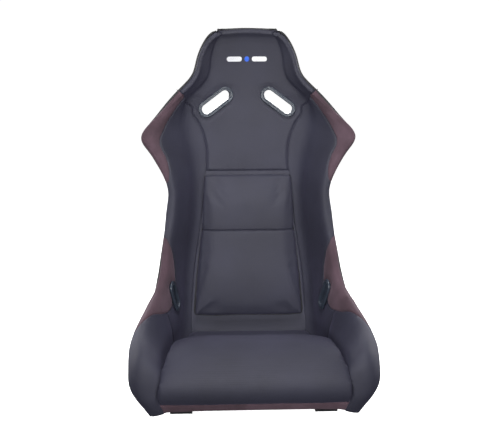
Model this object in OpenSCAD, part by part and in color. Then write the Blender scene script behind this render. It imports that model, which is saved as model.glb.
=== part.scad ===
// Fixed-back racing bucket seat: a moulded shell, glued fabric and suede panels,
// three loose cushions, harness slot bezels and side mounts.
// Millimetres, +Z up, the occupant faces -Y, the pieces named right are on the +X side.
// The origin is on the floor under the middle of the bounding box.

/* [Seat] */
// Scale of the widths, 1 is the standard width
width_scale = 1; // [0.96:0.01:1.04]
// Height added under the shell by the side mounts
base_lift = 0; // [0:1:20]
// Shift that puts the origin under the middle of the seat
middle_y = 17.5; // [10:0.5:25]

/* [Shell] */
// Wall thickness of the moulded shell
shell_wall = 5; // [4:0.5:7]
// Thickness of the foam-backed upholstery on the shell
pad_wall = 9; // [8:0.5:12]
// Glue line between the shell and the upholstery
glue_gap = 3; // [1:0.1:4]
// Radius of the rubber trim that covers the shell edge
trim_r = 4.5; // [3.5:0.1:5]

/* [Harness slots] */
// Distance of the shoulder slot centres from the middle
slot_x = 84; // [80:1:90]
// Height of the shoulder slot centres
slot_z = 697; // [690:1:705]
// Length of the straight part of a shoulder slot
slot_straight = 62; // [50:1:66]
// Radius of the round ends of a shoulder slot
slot_r = 13; // [10:0.5:14]
// Tilt of the shoulder slots, outer end down
slot_tilt = 36.5; // [30:0.5:40]
// Length of the straight part of a lap belt slot
lap_straight = 56; // [40:1:60]
// Radius of the round ends of a lap belt slot
lap_r = 10; // [8:0.5:11]
// Width of a bezel's flange
bezel_flange = 9.4; // [7:0.2:10]

/* [Cushions] */
// Gap between a cushion and the liner, filled by hook-and-loop strips
cushion_gap = 2.5; // [2:0.1:4]
// Thickness of the cushion covers
cover_wall = 2; // [1.5:0.1:2.5]
// Thickness of the back cushion in its middle
back_thick = 40; // [34:1:44]
// Thickness of the seat pad in its middle
seat_thick = 33; // [26:1:36]
// Thickness of the thigh cushion at its crest
thigh_thick = 62; // [50:1:66]

/* [Side mounts] */
// Distance from the middle to the vertical mounting faces
mount_x = 205; // [200:1:210]
// Distance between the two inserts of one side
insert_pitch = 290; // [280:5:300]
// Height of the inserts above the floor
insert_z = 35; // [30:1:38]
// Bore radius of the threaded inserts
insert_bore_r = 4; // [3:0.5:5]

/* [Hidden] */

// Five rails run from the front lip over the pan, up the back and over the head:
// centre line, liner edge, inner wall, bolster crest and rim. Each line is one station.
STATIONS = [
    [[0, -262, 33], [190, -262, 32], [216, -260, 24], [236, -256, 16], [248, -250, 12]],
    [[0, -270, 75], [190, -270, 75], [233, -272, 78], [270, -270, 82], [294, -258, 84]],
    [[0, -248, 116], [190, -248, 117], [228, -254, 146], [267, -252, 170], [301, -236, 138]],
    [[0, -150, 112], [190, -150, 112], [226, -152, 150], [264, -160, 205], [297, -165, 182]],
    [[0, -30, 85], [182, -30, 87], [206, -38, 150], [233, -52, 240], [263, -62, 232]],
    [[0, 135, 72], [166, 128, 80], [190, 70, 170], [211, 25, 270], [229, 10, 282]],
    [[0, 178, 230], [150, 176, 235], [180, 130, 290], [204, 60, 340], [222, 52, 352]],
    [[0, 200, 390], [130, 198, 395], [163, 150, 410], [192, 92, 430], [215, 88, 433]],
    [[0, 218, 500], [130, 216, 500], [162, 165, 500], [190, 105, 498], [210, 100, 496]],
    [[0, 230, 575], [135, 226, 575], [178, 180, 575], [216, 118, 572], [242, 106, 574]],
    [[0, 242, 645], [143, 236, 645], [193, 195, 640], [241, 128, 636], [275, 114, 636]],
    [[0, 252, 705], [146, 240, 705], [169, 215, 705], [182, 196, 706], [193, 182, 706]],
    [[0, 256, 763], [93, 249, 763], [111, 239, 763], [125, 227, 764], [135, 214, 763]],
    [[0, 255, 820], [84, 249, 822], [99, 240, 822], [111, 231, 822], [119, 224, 822]],
    [[0, 250, 866], [72, 246, 864], [84, 240, 862], [92, 234, 858], [98, 228, 856]],
    [[0, 240, 882], [58, 238, 880], [68, 236, 876], [76, 233, 873], [81, 230, 870]]];
// Seam between the middle panels and the bolsters, as [station, rail]
MIDDLE_SEAM = [[0, 1.9], [1, 1.9], [2, 1.2], [2.4, 1], [10.5, 1], [10.85, 1.2], [11.05, 1.7],
    [11.25, 2.8], [11.4, 4]];
// Seam between the fabric bolsters and the suede hip and shoulder panels
SUEDE_SEAM = [[3.05, 4], [3.35, 3.2], [3.7, 2.75], [4.2, 2.45], [4.8, 2.3],
    [5.3, 2.35], [5.7, 2.6], [6.05, 3], [6.35, 4], [8, 4], [8.3, 3.4], [8.6, 3.05],
    [9, 2.93], [9.35, 2.95], [9.65, 2.85], [10, 2.54], [10.4, 2.5], [11.4, 2.45]];
LAST = len(STATIONS) - 1;
RIM = 4;
// Every panel, the shell and the cushions have their corners on the same grid lines, so
// that facets laid over each other stay parallel: stations in sixths, and rails. Rows are
// closer up to the hips, from the neck upwards and at the ends of the panels.
GRID = 6;
HIP_TOP = 37;
NECK = 66;
EXTRA_ROWS = [3, 19, 21, 25, 27, 29, 31, 33, 35, HIP_TOP, 49, 67];
ROWS = [for (k = [0 : LAST * GRID])
    if (k % (k < HIP_TOP || k >= NECK ? 2 : 3) == 0 || len(search(k, EXTRA_ROWS)) > 0)
        k / GRID];
LINES = [0, 0.45, 0.65, 1, 1.3, 1.65, 2.1, 2.5, 3, 3.3, 3.65, RIM];
COLUMNS = [for (k = [len(LINES) - 1 : -1 : 1]) -LINES[k], for (v = LINES) v];
STEP = 0.02;
SEAM = 0.06;
MIDDLE_GAP = 0.012;
END_SEAM = 0.008;
THIN = 0.01;
EDGE = trim_r + 3.5;
S_FRONT = 0.2;
S_TOP = LAST - 0.75;
LIP_SEAM = 3 / GRID;
PAN_END = 5;
LINER_TOP = 49 / GRID;
THIGH_END = 25 / GRID;
TORSO_TOP = 67 / GRID;
HIP = [19 / GRID, HIP_TOP / GRID];
WING = [LINER_TOP, 68 / GRID];
SHELL_FRONT = -pad_wall - glue_gap;
SHELL_BACK = SHELL_FRONT - shell_wall;
FABRIC = [0.2, 0.2, 0.23];
SUEDE = [0.43, 0.36, 0.4];

// ---------- master surface ----------
function cubic(a, b, c, d, t) =
    (2 * b + (c - a) * t + (2 * a - 5 * b + 4 * c - d) * t * t
        + (3 * b - a - 3 * c + d) * t * t * t) / 2;
function placed(p) = [p.x * width_scale, p.y + middle_y, p.z + base_lift];
function station(i) = i < 0 ? 2 * STATIONS[0] - STATIONS[-i]
    : i > LAST ? 2 * STATIONS[LAST] - STATIONS[2 * LAST - i] : STATIONS[i];
// The five rail points at station s
function rails(s) = let (i = max(0, min(LAST - 1, floor(s))), t = s - i,
        a = station(i - 1), b = station(i), c = station(i + 1), d = station(i + 2))
    [for (k = [0 : RIM]) placed(cubic(a[k], b[k], c[k], d[k], t))];
function across(r, v) = let (w = abs(v), j = min(floor(w), RIM - 1),
        before = j == 0 ? [-r[1].x, r[1].y, r[1].z] : r[j - 1],
        after = j == RIM - 1 ? 2 * r[RIM] - r[RIM - 1] : r[j + 2],
        p = cubic(before, r[j], r[j + 1], after, w - j))
    [v < 0 ? -p.x : p.x, p.y, p.z];
function unit(a) = a / norm(a);
// Normal towards the occupant, from the rails just before, at and just after a station
function facing(near, v) =
    unit(cross(across(near[1], v + STEP) - across(near[1], v - STEP),
        across(near[2], v) - across(near[0], v)));
function around(s) = [rails(s - STEP), rails(s), rails(s + STEP)];
// Point of the surface at station s and rail v, moved by d towards the occupant
function at(s, v, d = 0) = let (near = around(s)) across(near[1], v) + d * facing(near, v);
function rim_v(s) = let (r = rails(s)) RIM - EDGE / norm(r[RIM] - r[RIM - 1]);
function middle_seam(s) = min(lookup(s, MIDDLE_SEAM), rim_v(s));
// The suede panels end short of the rim, and never reach inside the middle seam
HIP_LEAST = 0.26;
WING_LEAST = 0.12;
function has_suede(s) = (s >= HIP[0] && s <= HIP[1]) || (s >= WING[0] && s <= WING[1]);
function suede_seam(s) = !has_suede(s) ? rim_v(s)
    : min(max(lookup(s, SUEDE_SEAM), middle_seam(s)),
        rim_v(s) - (s > HIP[1] ? WING_LEAST : HIP_LEAST));
// Both ends of a range and every grid line between them
function between(lines, a, b, least) = [a, for (q = lines) if (q > a + least && q < b - least) q, b];
function stations(a, b) = between(ROWS, a, b, 2 * END_SEAM);
function columns(a, b) = between(COLUMNS, a, b, THIN);
// The same columns kept between two rails; those outside them end up as thin strips
function kept(lines, lo, hi) = let (m = len(lines) - 1)
    [for (j = [0 : m]) max(lo + j * THIN, min(hi - (m - j) * THIN, lines[j]))];
// One layer of a panel: lo and hi give its rails at each station
function layer(ss, lo, hi, d) =
    let (lines = columns(min([for (s = ss) lo(s)]), max([for (s = ss) hi(s)])))
        [for (s = ss) let (near = around(s)) [for (v = kept(lines, lo(s), hi(s)))
            across(near[1], v) + d * facing(near, v)]];

// ---------- solids from two layers ----------
function join(lists) = [for (l = lists) each l];
// Closed solid between two grids of points with the same rows and columns. Cells before
// the middle column are split along the other diagonal, and so are the walls of the last
// row and the first column, so that solids that lie side by side have parallel facets.
module slab(front, back, middle = 0) {
    n = len(front);
    m = len(front[0]);
    half = n * m;
    edge = concat([for (j = [0 : m - 2]) j], [for (i = [0 : n - 2]) i * m + m - 1],
        [for (j = [m - 1 : -1 : 1]) (n - 1) * m + j], [for (i = [n - 1 : -1 : 1]) i * m]);
    faces = concat(
        [for (i = [0 : n - 2], j = [0 : m - 2]) let (a = i * m + j)
            each j < middle ? [[a, a + m, a + 1], [a + 1, a + m, a + m + 1]]
                : [[a, a + m, a + m + 1], [a, a + m + 1, a + 1]]],
        [for (i = [0 : n - 2], j = [0 : m - 2]) let (b = i * m + j + half)
            each j < middle ? [[b, b + 1, b + m], [b + 1, b + m + 1, b + m]]
                : [[b, b + 1, b + m + 1], [b, b + m + 1, b + m]]],
        [for (k = [0 : len(edge) - 1]) let (p = edge[k], q = edge[(k + 1) % len(edge)])
            each k < m + n - 2 ? [[p, q, q + half], [p, q + half, p + half]]
                : [[p, q, p + half], [q, q + half, p + half]]]);
    polyhedron(join(concat(front, back)), faces);
}
// Panel of the seat between two distances from the master surface
module panel(s0, s1, lo, hi, near = 0, far = -pad_wall) {
    ss = stations(s0, s1);
    front = layer(ss, lo, hi, near);
    slab(front, layer(ss, lo, hi, far), lo(s0) < 0 ? (len(front[0]) - 1) / 2 : 0);
}
module both_sides(side) {
    if (side < 0)
        mirror([1, 0, 0]) children();
    else
        children();
}

// ---------- slots ----------
// Frame of a slot: origin on the surface, Z towards the occupant, X along the slot
module slot_frame(origin, along, normal) {
    x = unit(along - (along * normal) * normal);
    y = cross(normal, x);
    multmatrix([[x.x, y.x, normal.x, origin.x], [x.y, y.y, normal.y, origin.y],
        [x.z, y.z, normal.z, origin.z], [0, 0, 0, 1]]) children();
}
SLOT_S = 10.87;
SLOT_V_START = slot_x / rails(SLOT_S)[1].x;
SLOT_V = SLOT_V_START * slot_x / at(SLOT_S, SLOT_V_START).x;
SLOT_ALONG = [cos(slot_tilt), 0, -sin(slot_tilt)];
LAP_S = 4.98;
LAP_V = 2.42;
LAP_ALONG = at(LAP_S, LAP_V + 0.3) - at(LAP_S, LAP_V - 0.3);
module at_shoulder_slot() {
    slot_frame(at(SLOT_S, SLOT_V), SLOT_ALONG, facing(around(SLOT_S), SLOT_V)) children();
}
module at_lap_slot() {
    slot_frame(at(LAP_S, LAP_V), LAP_ALONG, facing(around(LAP_S), LAP_V)) children();
}
// Rounded bar from z0 to z1 with round ends of radius r, straight for a length
module bar(straight, r, z0, z1) {
    translate([0, 0, z0]) {
        for (x = [-straight / 2, straight / 2])
            translate([x, 0, 0]) cylinder(r = r, h = z1 - z0, $fn = 40);
        translate([-straight / 2, -r, 0]) cube([straight, 2 * r, z1 - z0]);
    }
}
SLEEVE = 2.2;
FIT = 0.4;
FLANGE = 4;
DEPTH = pad_wall + glue_gap + shell_wall;
module bezel_front(straight, r, curve) {
    difference() {
        union() {
            bar(straight, r + bezel_flange, curve, curve + FLANGE);
            bar(straight, r + SLEEVE, -DEPTH - curve - FLANGE, curve + FLANGE / 2);
        }
        bar(straight, r, -DEPTH - curve - FLANGE - 1, curve + FLANGE + 1);
    }
}
module bezel_rear(straight, r, curve) {
    difference() {
        bar(straight, r + bezel_flange, -DEPTH - curve - FLANGE, -DEPTH - curve);
        bar(straight, r + SLEEVE + FIT, -DEPTH - curve - FLANGE - 1, 1 - DEPTH - curve);
    }
}
// Cut-outs for the sleeves of the bezels; hulls of thin discs keep them as one mesh
module round_ends(straight, r, reach) {
    for (z = [-reach : reach / 2 : reach / 2])
        hull()
            for (x = [-straight / 2, straight / 2])
                translate([x, 0, z]) cylinder(r = r, h = reach / 2 + 0.1, $fn = 24);
}
SHOULDER_CURVE = 2;
LAP_CURVE = 3.2;
module shoulder_cut() {
    at_shoulder_slot() round_ends(slot_straight, slot_r + SLEEVE + FIT, 60);
}
module lap_cut() {
    at_lap_slot() round_ends(lap_straight, lap_r + SLEEVE + FIT, 50);
}

BEZEL = "#6b7484";
module shoulder_bezel_front(side) {
    color(BEZEL)
        both_sides(side) at_shoulder_slot() bezel_front(slot_straight, slot_r, SHOULDER_CURVE);
}
module shoulder_bezel_rear(side) {
    color(BEZEL)
        both_sides(side) at_shoulder_slot() bezel_rear(slot_straight, slot_r, SHOULDER_CURVE);
}
module lap_bezel_inner(side) {
    color(BEZEL)
        both_sides(side) at_lap_slot() bezel_front(lap_straight, lap_r, LAP_CURVE);
}
module lap_bezel_outer(side) {
    color(BEZEL)
        both_sides(side) at_lap_slot() bezel_rear(lap_straight, lap_r, LAP_CURVE);
}

// ---------- shell and mounts ----------
module shell() {
    color("#17171a")
        difference() {
            panel(S_FRONT, S_TOP, function(s) -rim_v(s), function(s) rim_v(s),
                SHELL_FRONT, SHELL_BACK);
            for (side = [-1, 1])
                both_sides(side) {
                    shoulder_cut();
                    lap_cut();
                }
        }
}
MOUNT_Y = [-205 + middle_y, 150 + middle_y];
MOUNT_IN = 150;
MOUNT_TOP = 120;
INSERT_Y = (MOUNT_Y[0] + MOUNT_Y[1]) / 2;
INSERT_R = 6;
INSERT_L = 24;
module insert_places() {
    for (y = [INSERT_Y - insert_pitch / 2, INSERT_Y + insert_pitch / 2])
        translate([mount_x, y, insert_z]) rotate([0, -90, 0]) children();
}
MOUNT_FIT = 0.5;
// Everything on the occupant's side of the shell's outer face over a side mount
module above_shell() {
    low = layer(stations(10 / GRID, 32 / GRID), function(s) LINES[1], function(s) LINES[8],
        SHELL_BACK - MOUNT_FIT);
    slab([for (r = low) [for (p = r) [p.x, p.y, 2 * MOUNT_TOP + 2 * mount_x]]], low);
}
module side_mount(side) {
    color("#1b1b1e")
        both_sides(side)
            difference() {
                translate([MOUNT_IN, MOUNT_Y[0], 0])
                    cube([mount_x - MOUNT_IN, MOUNT_Y[1] - MOUNT_Y[0], MOUNT_TOP]);
                above_shell();
                insert_places()
                    translate([0, 0, -1]) cylinder(r = INSERT_R, h = INSERT_L + 1, $fn = 48);
            }
}
module mount_inserts() {
    color("#b8b2a0")
        for (side = [-1, 1])
            both_sides(side)
                insert_places()
                    difference() {
                        cylinder(r = INSERT_R - 0.02, h = INSERT_L - 0.5, $fn = 48);
                        translate([0, 0, -1])
                            cylinder(r = insert_bore_r, h = INSERT_L - 3, $fn = 48);
                    }
}
// Rim: up the right side, over the head, down the left side and back along the lip
TRIM_SIDES = 6;
TRIM_D = (SHELL_FRONT + SHELL_BACK) / 2;
// Steps along the sides in stations and across the ends in rails, and where each run starts
TRIM_STEP = 0.35;
TRIM_START = 0.3;
END_STEP = 0.45;
END_START = 3.6;
RIM_PATH = concat(
    [for (s = [TRIM_START : TRIM_STEP : LAST - TRIM_START]) [s, RIM]],
    [for (v = [END_START : -END_STEP : -END_START]) [LAST, v]],
    [for (s = [LAST - TRIM_STEP : -TRIM_STEP : TRIM_START]) [s, -RIM]],
    [for (v = [-END_START : END_STEP : END_START]) [0, v]]);
module rim_trim() {
    path = [for (q = RIM_PATH) at(q[0], q[1], TRIM_D)];
    up = [for (q = RIM_PATH) facing(around(q[0]), q[1])];
    n = len(path);
    rings = [for (i = [0 : n - 1])
        let (along = unit(path[(i + 1) % n] - path[(i + n - 1) % n]),
                side = unit(cross(along, up[i])), top = cross(side, along))
            [for (k = [0 : TRIM_SIDES - 1]) let (a = k * 360 / TRIM_SIDES)
                path[i] + trim_r * (cos(a) * side + sin(a) * top)]];
    faces = [for (i = [0 : n - 1], k = [0 : TRIM_SIDES - 1])
        let (a = i * TRIM_SIDES, b = (i + 1) % n * TRIM_SIDES, l = (k + 1) % TRIM_SIDES)
            each [[a + k, b + k, b + l], [a + k, b + l, a + l]]];
    color("#101012") polyhedron(join(rings), faces);
}

// ---------- glued panels ----------
module upper_back_panel() {
    color(FABRIC)
        difference() {
            panel(LINER_TOP + END_SEAM, S_TOP, function(s) MIDDLE_GAP - middle_seam(s),
                function(s) middle_seam(s) - MIDDLE_GAP);
            for (side = [-1, 1])
                both_sides(side) shoulder_cut();
        }
}
module back_liner() {
    color(FABRIC)
        panel(PAN_END + END_SEAM, LINER_TOP - END_SEAM, function(s) MIDDLE_GAP - 1,
            function(s) 1 - MIDDLE_GAP);
}
module pan_liner() {
    color(FABRIC)
        panel(LIP_SEAM + END_SEAM, PAN_END - END_SEAM, function(s) MIDDLE_GAP - middle_seam(s),
            function(s) middle_seam(s) - MIDDLE_GAP);
}
module front_lip_strip() {
    color(SUEDE)
        panel(S_FRONT, LIP_SEAM - END_SEAM, function(s) MIDDLE_GAP - middle_seam(s),
            function(s) middle_seam(s) - MIDDLE_GAP);
}
module torso_bolster(side) {
    color(FABRIC)
        both_sides(side)
            difference() {
                panel(THIGH_END + END_SEAM, TORSO_TOP, function(s) middle_seam(s) + 2 * MIDDLE_GAP,
                    function(s) suede_seam(s) - SEAM);
                lap_cut();
            }
}
module thigh_bolster(side) {
    color(FABRIC)
        both_sides(side)
            panel(S_FRONT, THIGH_END - END_SEAM, function(s) middle_seam(s) + 2 * MIDDLE_GAP,
                function(s) suede_seam(s) - SEAM);
}
module shoulder_wing(side) {
    color(SUEDE)
        both_sides(side)
            panel(WING[0] + END_SEAM, WING[1], function(s) suede_seam(s) + SEAM,
                function(s) rim_v(s));
}
module hip_panel(side) {
    color(SUEDE)
        both_sides(side)
            difference() {
                panel(HIP[0], HIP[1] - 3 * END_SEAM, function(s) suede_seam(s) + 2 * SEAM,
                    function(s) rim_v(s));
                lap_cut();
            }
}
PATCH_S = [12.64, 12.98];
PATCH_V = 0.62;
PATCH_D = [1.4, 0.4];
module head_patch() {
    color("#d8dade")
        panel(PATCH_S[0], PATCH_S[1], function(s) -PATCH_V, function(s) PATCH_V,
            PATCH_D[0], PATCH_D[1]);
}
// Two hook-and-loop strips between a liner and a cushion
STRIP_V = [0.45, 0.65];
STRIP_FIT = 0.4;
// Stations between which the strips under each cushion run
BACK_HOOKS = [35 / GRID, 45 / GRID];
SEAT_HOOKS = [24 / GRID, 28 / GRID];
THIGH_HOOKS = [16 / GRID, 20 / GRID];
module hook_strips(ends) {
    color("#202022")
        for (side = [-1, 1])
            both_sides(side)
                panel(ends[0], ends[1], function(s) STRIP_V[0], function(s) STRIP_V[1],
                    cushion_gap - STRIP_FIT, STRIP_FIT);
}

// ---------- loose cushions ----------
// Columns of a cushion table: station, rail of the base edge, half width on top, thickness share
BACK_CUSHION = [[5.35, 0.95, 154, 0.8], [6, 0.95, 143, 1], [6.78, 0.95, 131, 0.93],
    [7.4, 0.93, 126, 1], [8.05, 0.9, 119, 0.75]];
SEAT_PAD = [[3.8, 0.95, 184, 0.85], [4.3, 0.95, 177, 1.05], [4.86, 0.95, 166, 1.1]];
THIGH_CUSHION = [[0.6, 1.85, 226, 0.3], [1, 1.85, 231, 0.52], [1.5, 1.5, 230, 0.72],
    [2, 1.08, 222, 0.85], [2.5, 0.98, 214, 1], [3, 0.98, 209, 1.02], [3.62, 0.98, 205, 0.8]];
BACKING = 1.5;
FOAM_GAP = 3;
FOAM_SPLIT = 6.78;
SPLIT_GAP = 0.02;
CROWN = 0.3;
function column(table, s, k) = lookup(s, [for (r = table) [r[0], r[k]]]);
function rounding(q) = 1 - CROWN * pow(abs(q), 6);
// First and last station of a cushion, shrunk by an inset
function ends(table, inset) = let (s0 = table[0][0], s1 = table[len(table) - 1][0])
    [s0 + inset * STEP / norm(at(s0 + STEP, 0) - at(s0, 0)),
        s1 - inset * STEP / norm(at(s1, 0) - at(s1 - STEP, 0))];
function base_edge(table, s, inset) = column(table, s, 1) * (1 - inset / column(table, s, 2));
// Rails of a cushion at a station, on the grid lines inside its base edge
function cushion_rails(table, s, inset) = let (widest = max([for (r = table) r[1]]),
        edge = base_edge(table, s, inset))
    kept(columns(-widest, widest), -edge, edge);
// Base of a cushion on its liner, lifted off it and shrunk by an inset
function cushion_base(table, ss, inset, lift) = [for (s = ss) let (near = around(s))
    [for (v = cushion_rails(table, s, inset))
        across(near[1], v) + (cushion_gap + lift) * facing(near, 0)]];
// Crowned face of a cushion
function cushion_top(table, ss, thick, inset) = let (span = ends(table, inset))
    [for (s = ss)
        let (near = around(s), c = across(near[1], 0), half = column(table, s, 2) - inset,
                q = 2 * (s - span[0]) / (span[1] - span[0]) - 1,
                edge = base_edge(table, s, inset))
            [for (v = cushion_rails(table, s, inset)) let (w = v / edge)
                [w * half, c.y, c.z] + facing(near, 0) * (cushion_gap
                    + (thick * column(table, s, 3) - inset) * rounding(w) * rounding(q))]];
// A face with its border turned down to the base, for a cover that is open at its back
function turned_down(top, base) = let (n = len(top) - 1, m = len(top[0]) - 1)
    [concat([base[0][0]], base[0], [base[0][m]]),
        for (i = [0 : n]) concat([base[i][0]], top[i], [base[i][m]]),
        concat([base[n][0]], base[n], [base[n][m]])];
// The grid's stations between two places, moved in at both ends by the cover's thickness
function inner_stations(outer, span) = [for (i = [0 : len(outer) - 1])
    i == 0 ? span[0] : i == len(outer) - 1 ? span[1] : outer[i]];
module cushion_cover(table, thick) {
    span = ends(table, 0);
    outer = stations(span[0], span[1]);
    inner = inner_stations(outer, ends(table, cover_wall));
    face = turned_down(cushion_top(table, outer, thick, 0), cushion_base(table, outer, 0, 0));
    color(FABRIC)
        slab(face, turned_down(cushion_top(table, inner, thick, cover_wall),
            cushion_base(table, inner, cover_wall, 0)), (len(face[0]) - 1) / 2);
}
module cushion_backing(table) {
    inset = cover_wall + FOAM_GAP;
    span = ends(table, inset);
    ss = stations(span[0], span[1]);
    upper = cushion_base(table, ss, inset, BACKING);
    color("#26262a")
        slab(upper, cushion_base(table, ss, inset, 0), (len(upper[0]) - 1) / 2);
}
// Foam of a cushion between two stations, or between its ends where those come first
module cushion_foam(table, thick, from = 0, to = LAST) {
    inset = cover_wall + FOAM_GAP;
    span = ends(table, inset);
    ss = stations(max(from, span[0]), min(to, span[1]));
    top = cushion_top(table, ss, thick, inset);
    color("#e2d9b8")
        slab(top, cushion_base(table, ss, inset, BACKING + FOAM_GAP), (len(top[0]) - 1) / 2);
}

shell();
side_mount(-1);  // side_mount_left
side_mount(1);  // side_mount_right
mount_inserts();
rim_trim();
upper_back_panel();
back_liner();
pan_liner();
front_lip_strip();
torso_bolster(-1);  // torso_bolster_left
torso_bolster(1);  // torso_bolster_right
thigh_bolster(-1);  // thigh_bolster_left
thigh_bolster(1);  // thigh_bolster_right
shoulder_wing(-1);  // shoulder_wing_left
shoulder_wing(1);  // shoulder_wing_right
hip_panel(-1);  // hip_panel_left
hip_panel(1);  // hip_panel_right
head_patch();
hook_strips(BACK_HOOKS);  // back_hook_strips
hook_strips(SEAT_HOOKS);  // seat_hook_strips
hook_strips(THIGH_HOOKS);  // thigh_hook_strips
shoulder_bezel_front(-1);  // shoulder_bezel_front_left
shoulder_bezel_front(1);  // shoulder_bezel_front_right
shoulder_bezel_rear(-1);  // shoulder_bezel_rear_left
shoulder_bezel_rear(1);  // shoulder_bezel_rear_right
lap_bezel_inner(-1);  // lap_bezel_inner_left
lap_bezel_inner(1);  // lap_bezel_inner_right
lap_bezel_outer(-1);  // lap_bezel_outer_left
lap_bezel_outer(1);  // lap_bezel_outer_right
cushion_cover(BACK_CUSHION, back_thick);  // back_cushion_cover
cushion_foam(BACK_CUSHION, back_thick, FOAM_SPLIT + SPLIT_GAP);  // back_cushion_foam_upper
cushion_foam(BACK_CUSHION, back_thick, 0, FOAM_SPLIT - SPLIT_GAP);  // back_cushion_foam_lower
cushion_backing(BACK_CUSHION);  // back_cushion_backing
cushion_cover(SEAT_PAD, seat_thick);  // seat_pad_cover
cushion_foam(SEAT_PAD, seat_thick);  // seat_pad_foam
cushion_backing(SEAT_PAD);  // seat_pad_backing
cushion_cover(THIGH_CUSHION, thigh_thick);  // thigh_cushion_cover
cushion_foam(THIGH_CUSHION, thigh_thick);  // thigh_cushion_foam
cushion_backing(THIGH_CUSHION);  // thigh_cushion_backing
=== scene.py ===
"""Fixed-back racing bucket seat: moulded shell, glued fabric and suede panels, loose cushions.

Sizes are in millimetres in the seat's own frame: +Z up, the occupant faces -Y. Meshes are
written in metres with their place in their points.
"""

import logging
import math
from dataclasses import dataclass, field
from enum import Enum
from typing import Any, Callable, Mapping, Sequence

import bmesh
import bpy
import numpy as np
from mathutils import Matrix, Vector, noise


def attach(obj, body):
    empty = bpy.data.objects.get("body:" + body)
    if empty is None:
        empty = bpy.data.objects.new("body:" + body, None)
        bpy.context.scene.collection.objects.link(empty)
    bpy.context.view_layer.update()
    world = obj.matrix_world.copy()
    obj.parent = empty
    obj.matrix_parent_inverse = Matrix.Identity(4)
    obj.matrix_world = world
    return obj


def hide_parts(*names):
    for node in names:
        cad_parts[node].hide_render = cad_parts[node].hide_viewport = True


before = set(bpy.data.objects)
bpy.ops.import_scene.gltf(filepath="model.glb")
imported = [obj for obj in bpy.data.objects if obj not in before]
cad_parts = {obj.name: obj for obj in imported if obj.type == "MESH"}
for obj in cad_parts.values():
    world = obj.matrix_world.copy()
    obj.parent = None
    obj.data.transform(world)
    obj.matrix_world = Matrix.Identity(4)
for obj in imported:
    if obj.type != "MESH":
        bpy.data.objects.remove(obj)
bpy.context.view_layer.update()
LOG = logging.getLogger("racing_seat")
MM = 0.001
CLOTH_MAP = "cloth"
RIM = 4
Array = np.ndarray
Curve = Callable[[Array], Array]


# ---------------------------------------------------------------- small helpers
def srgb(code: str) -> tuple[float, float, float, float]:
    """Turns an sRGB hex colour into linear RGBA.

    Args:
        code: Six hex digits after a hash sign.

    Returns:
        Linear red, green, blue and an alpha of 1.
    """
    parts = [int(code[i:i + 2], 16) / 255 for i in (1, 3, 5)]
    linear = [c / 12.92 if c <= 0.04045 else ((c + 0.055) / 1.055) ** 2.4 for c in parts]
    return (linear[0], linear[1], linear[2], 1.0)


def add_node(tree: bpy.types.NodeTree, kind: str, settings: Mapping[str, Any] | None = None,
             links: Mapping[str | int, Any] | None = None, **values: Any) -> bpy.types.Node:
    """Adds one node with its settings, input values and links.

    Args:
        tree: The material or geometry tree.
        kind: The node's type name.
        settings: Attributes of the node itself.
        links: Output sockets to link, by input name or index.
        **values: Input values, with underscores for spaces in the input's name.

    Returns:
        The new node.
    """
    node = tree.nodes.new(kind)
    for name, value in (settings or {}).items():
        setattr(node, name, value)
    for name, value in values.items():
        key: str | int = int(name[1:]) if name[0] == "_" else name.replace("_", " ")
        node.inputs[key].default_value = value
    for target, source in (links or {}).items():
        tree.links.new(source, node.inputs[target])
    return node


def smooth_step(x: Array) -> Array:
    """Eases 0 to 1, flat at both ends."""
    t = np.clip(x, 0, 1)
    return t * t * (3 - 2 * t)


def unit(vectors: Array) -> Array:
    """Scales vectors along the last axis to length 1."""
    return vectors / np.maximum(np.linalg.norm(vectors, axis=-1, keepdims=True), 1e-9)


def smooth_curve(knots: Sequence[tuple[float, float]]) -> Curve:
    """A monotone-friendly smooth curve through knots, held flat outside them.

    Args:
        knots: Pairs of station and value in rising order of station.

    Returns:
        A function from stations to values.
    """
    xs = np.array([k[0] for k in knots])
    ys = np.array([k[1] for k in knots])
    slopes = np.gradient(ys, xs)

    def value(x: Array) -> Array:
        """Hermite interpolation between the knots."""
        q = np.clip(np.asarray(x, float), xs[0], xs[-1])
        i = np.clip(np.searchsorted(xs, q, side="right") - 1, 0, len(xs) - 2)
        h = xs[i + 1] - xs[i]
        t = (q - xs[i]) / h
        a, b = ys[i], ys[i + 1]
        return ((2 * t ** 3 - 3 * t ** 2 + 1) * a + (t ** 3 - 2 * t ** 2 + t) * h * slopes[i]
                + (3 * t ** 2 - 2 * t ** 3) * b + (t ** 3 - t ** 2) * h * slopes[i + 1])
    return value


def grid_faces(rows: int, columns: int, start: int = 0, closed_rows: bool = False,
               closed_columns: bool = False, flip: bool = False) -> list[tuple[int, ...]]:
    """Quads of a grid of points numbered row by row.

    Args:
        rows: Number of rows.
        columns: Number of points in a row.
        start: Index of the first point.
        closed_rows: Joins the last row to the first.
        closed_columns: Joins the last column to the first.
        flip: Turns the faces over.

    Returns:
        The quads as tuples of point indices.
    """
    faces = []
    for i in range(rows if closed_rows else rows - 1):
        for j in range(columns if closed_columns else columns - 1):
            a = start + i * columns + j
            b = start + i * columns + (j + 1) % columns
            c = start + (i + 1) % rows * columns + (j + 1) % columns
            d = start + (i + 1) % rows * columns + j
            faces.append((a, d, c, b) if flip else (a, b, c, d))
    return faces


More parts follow.
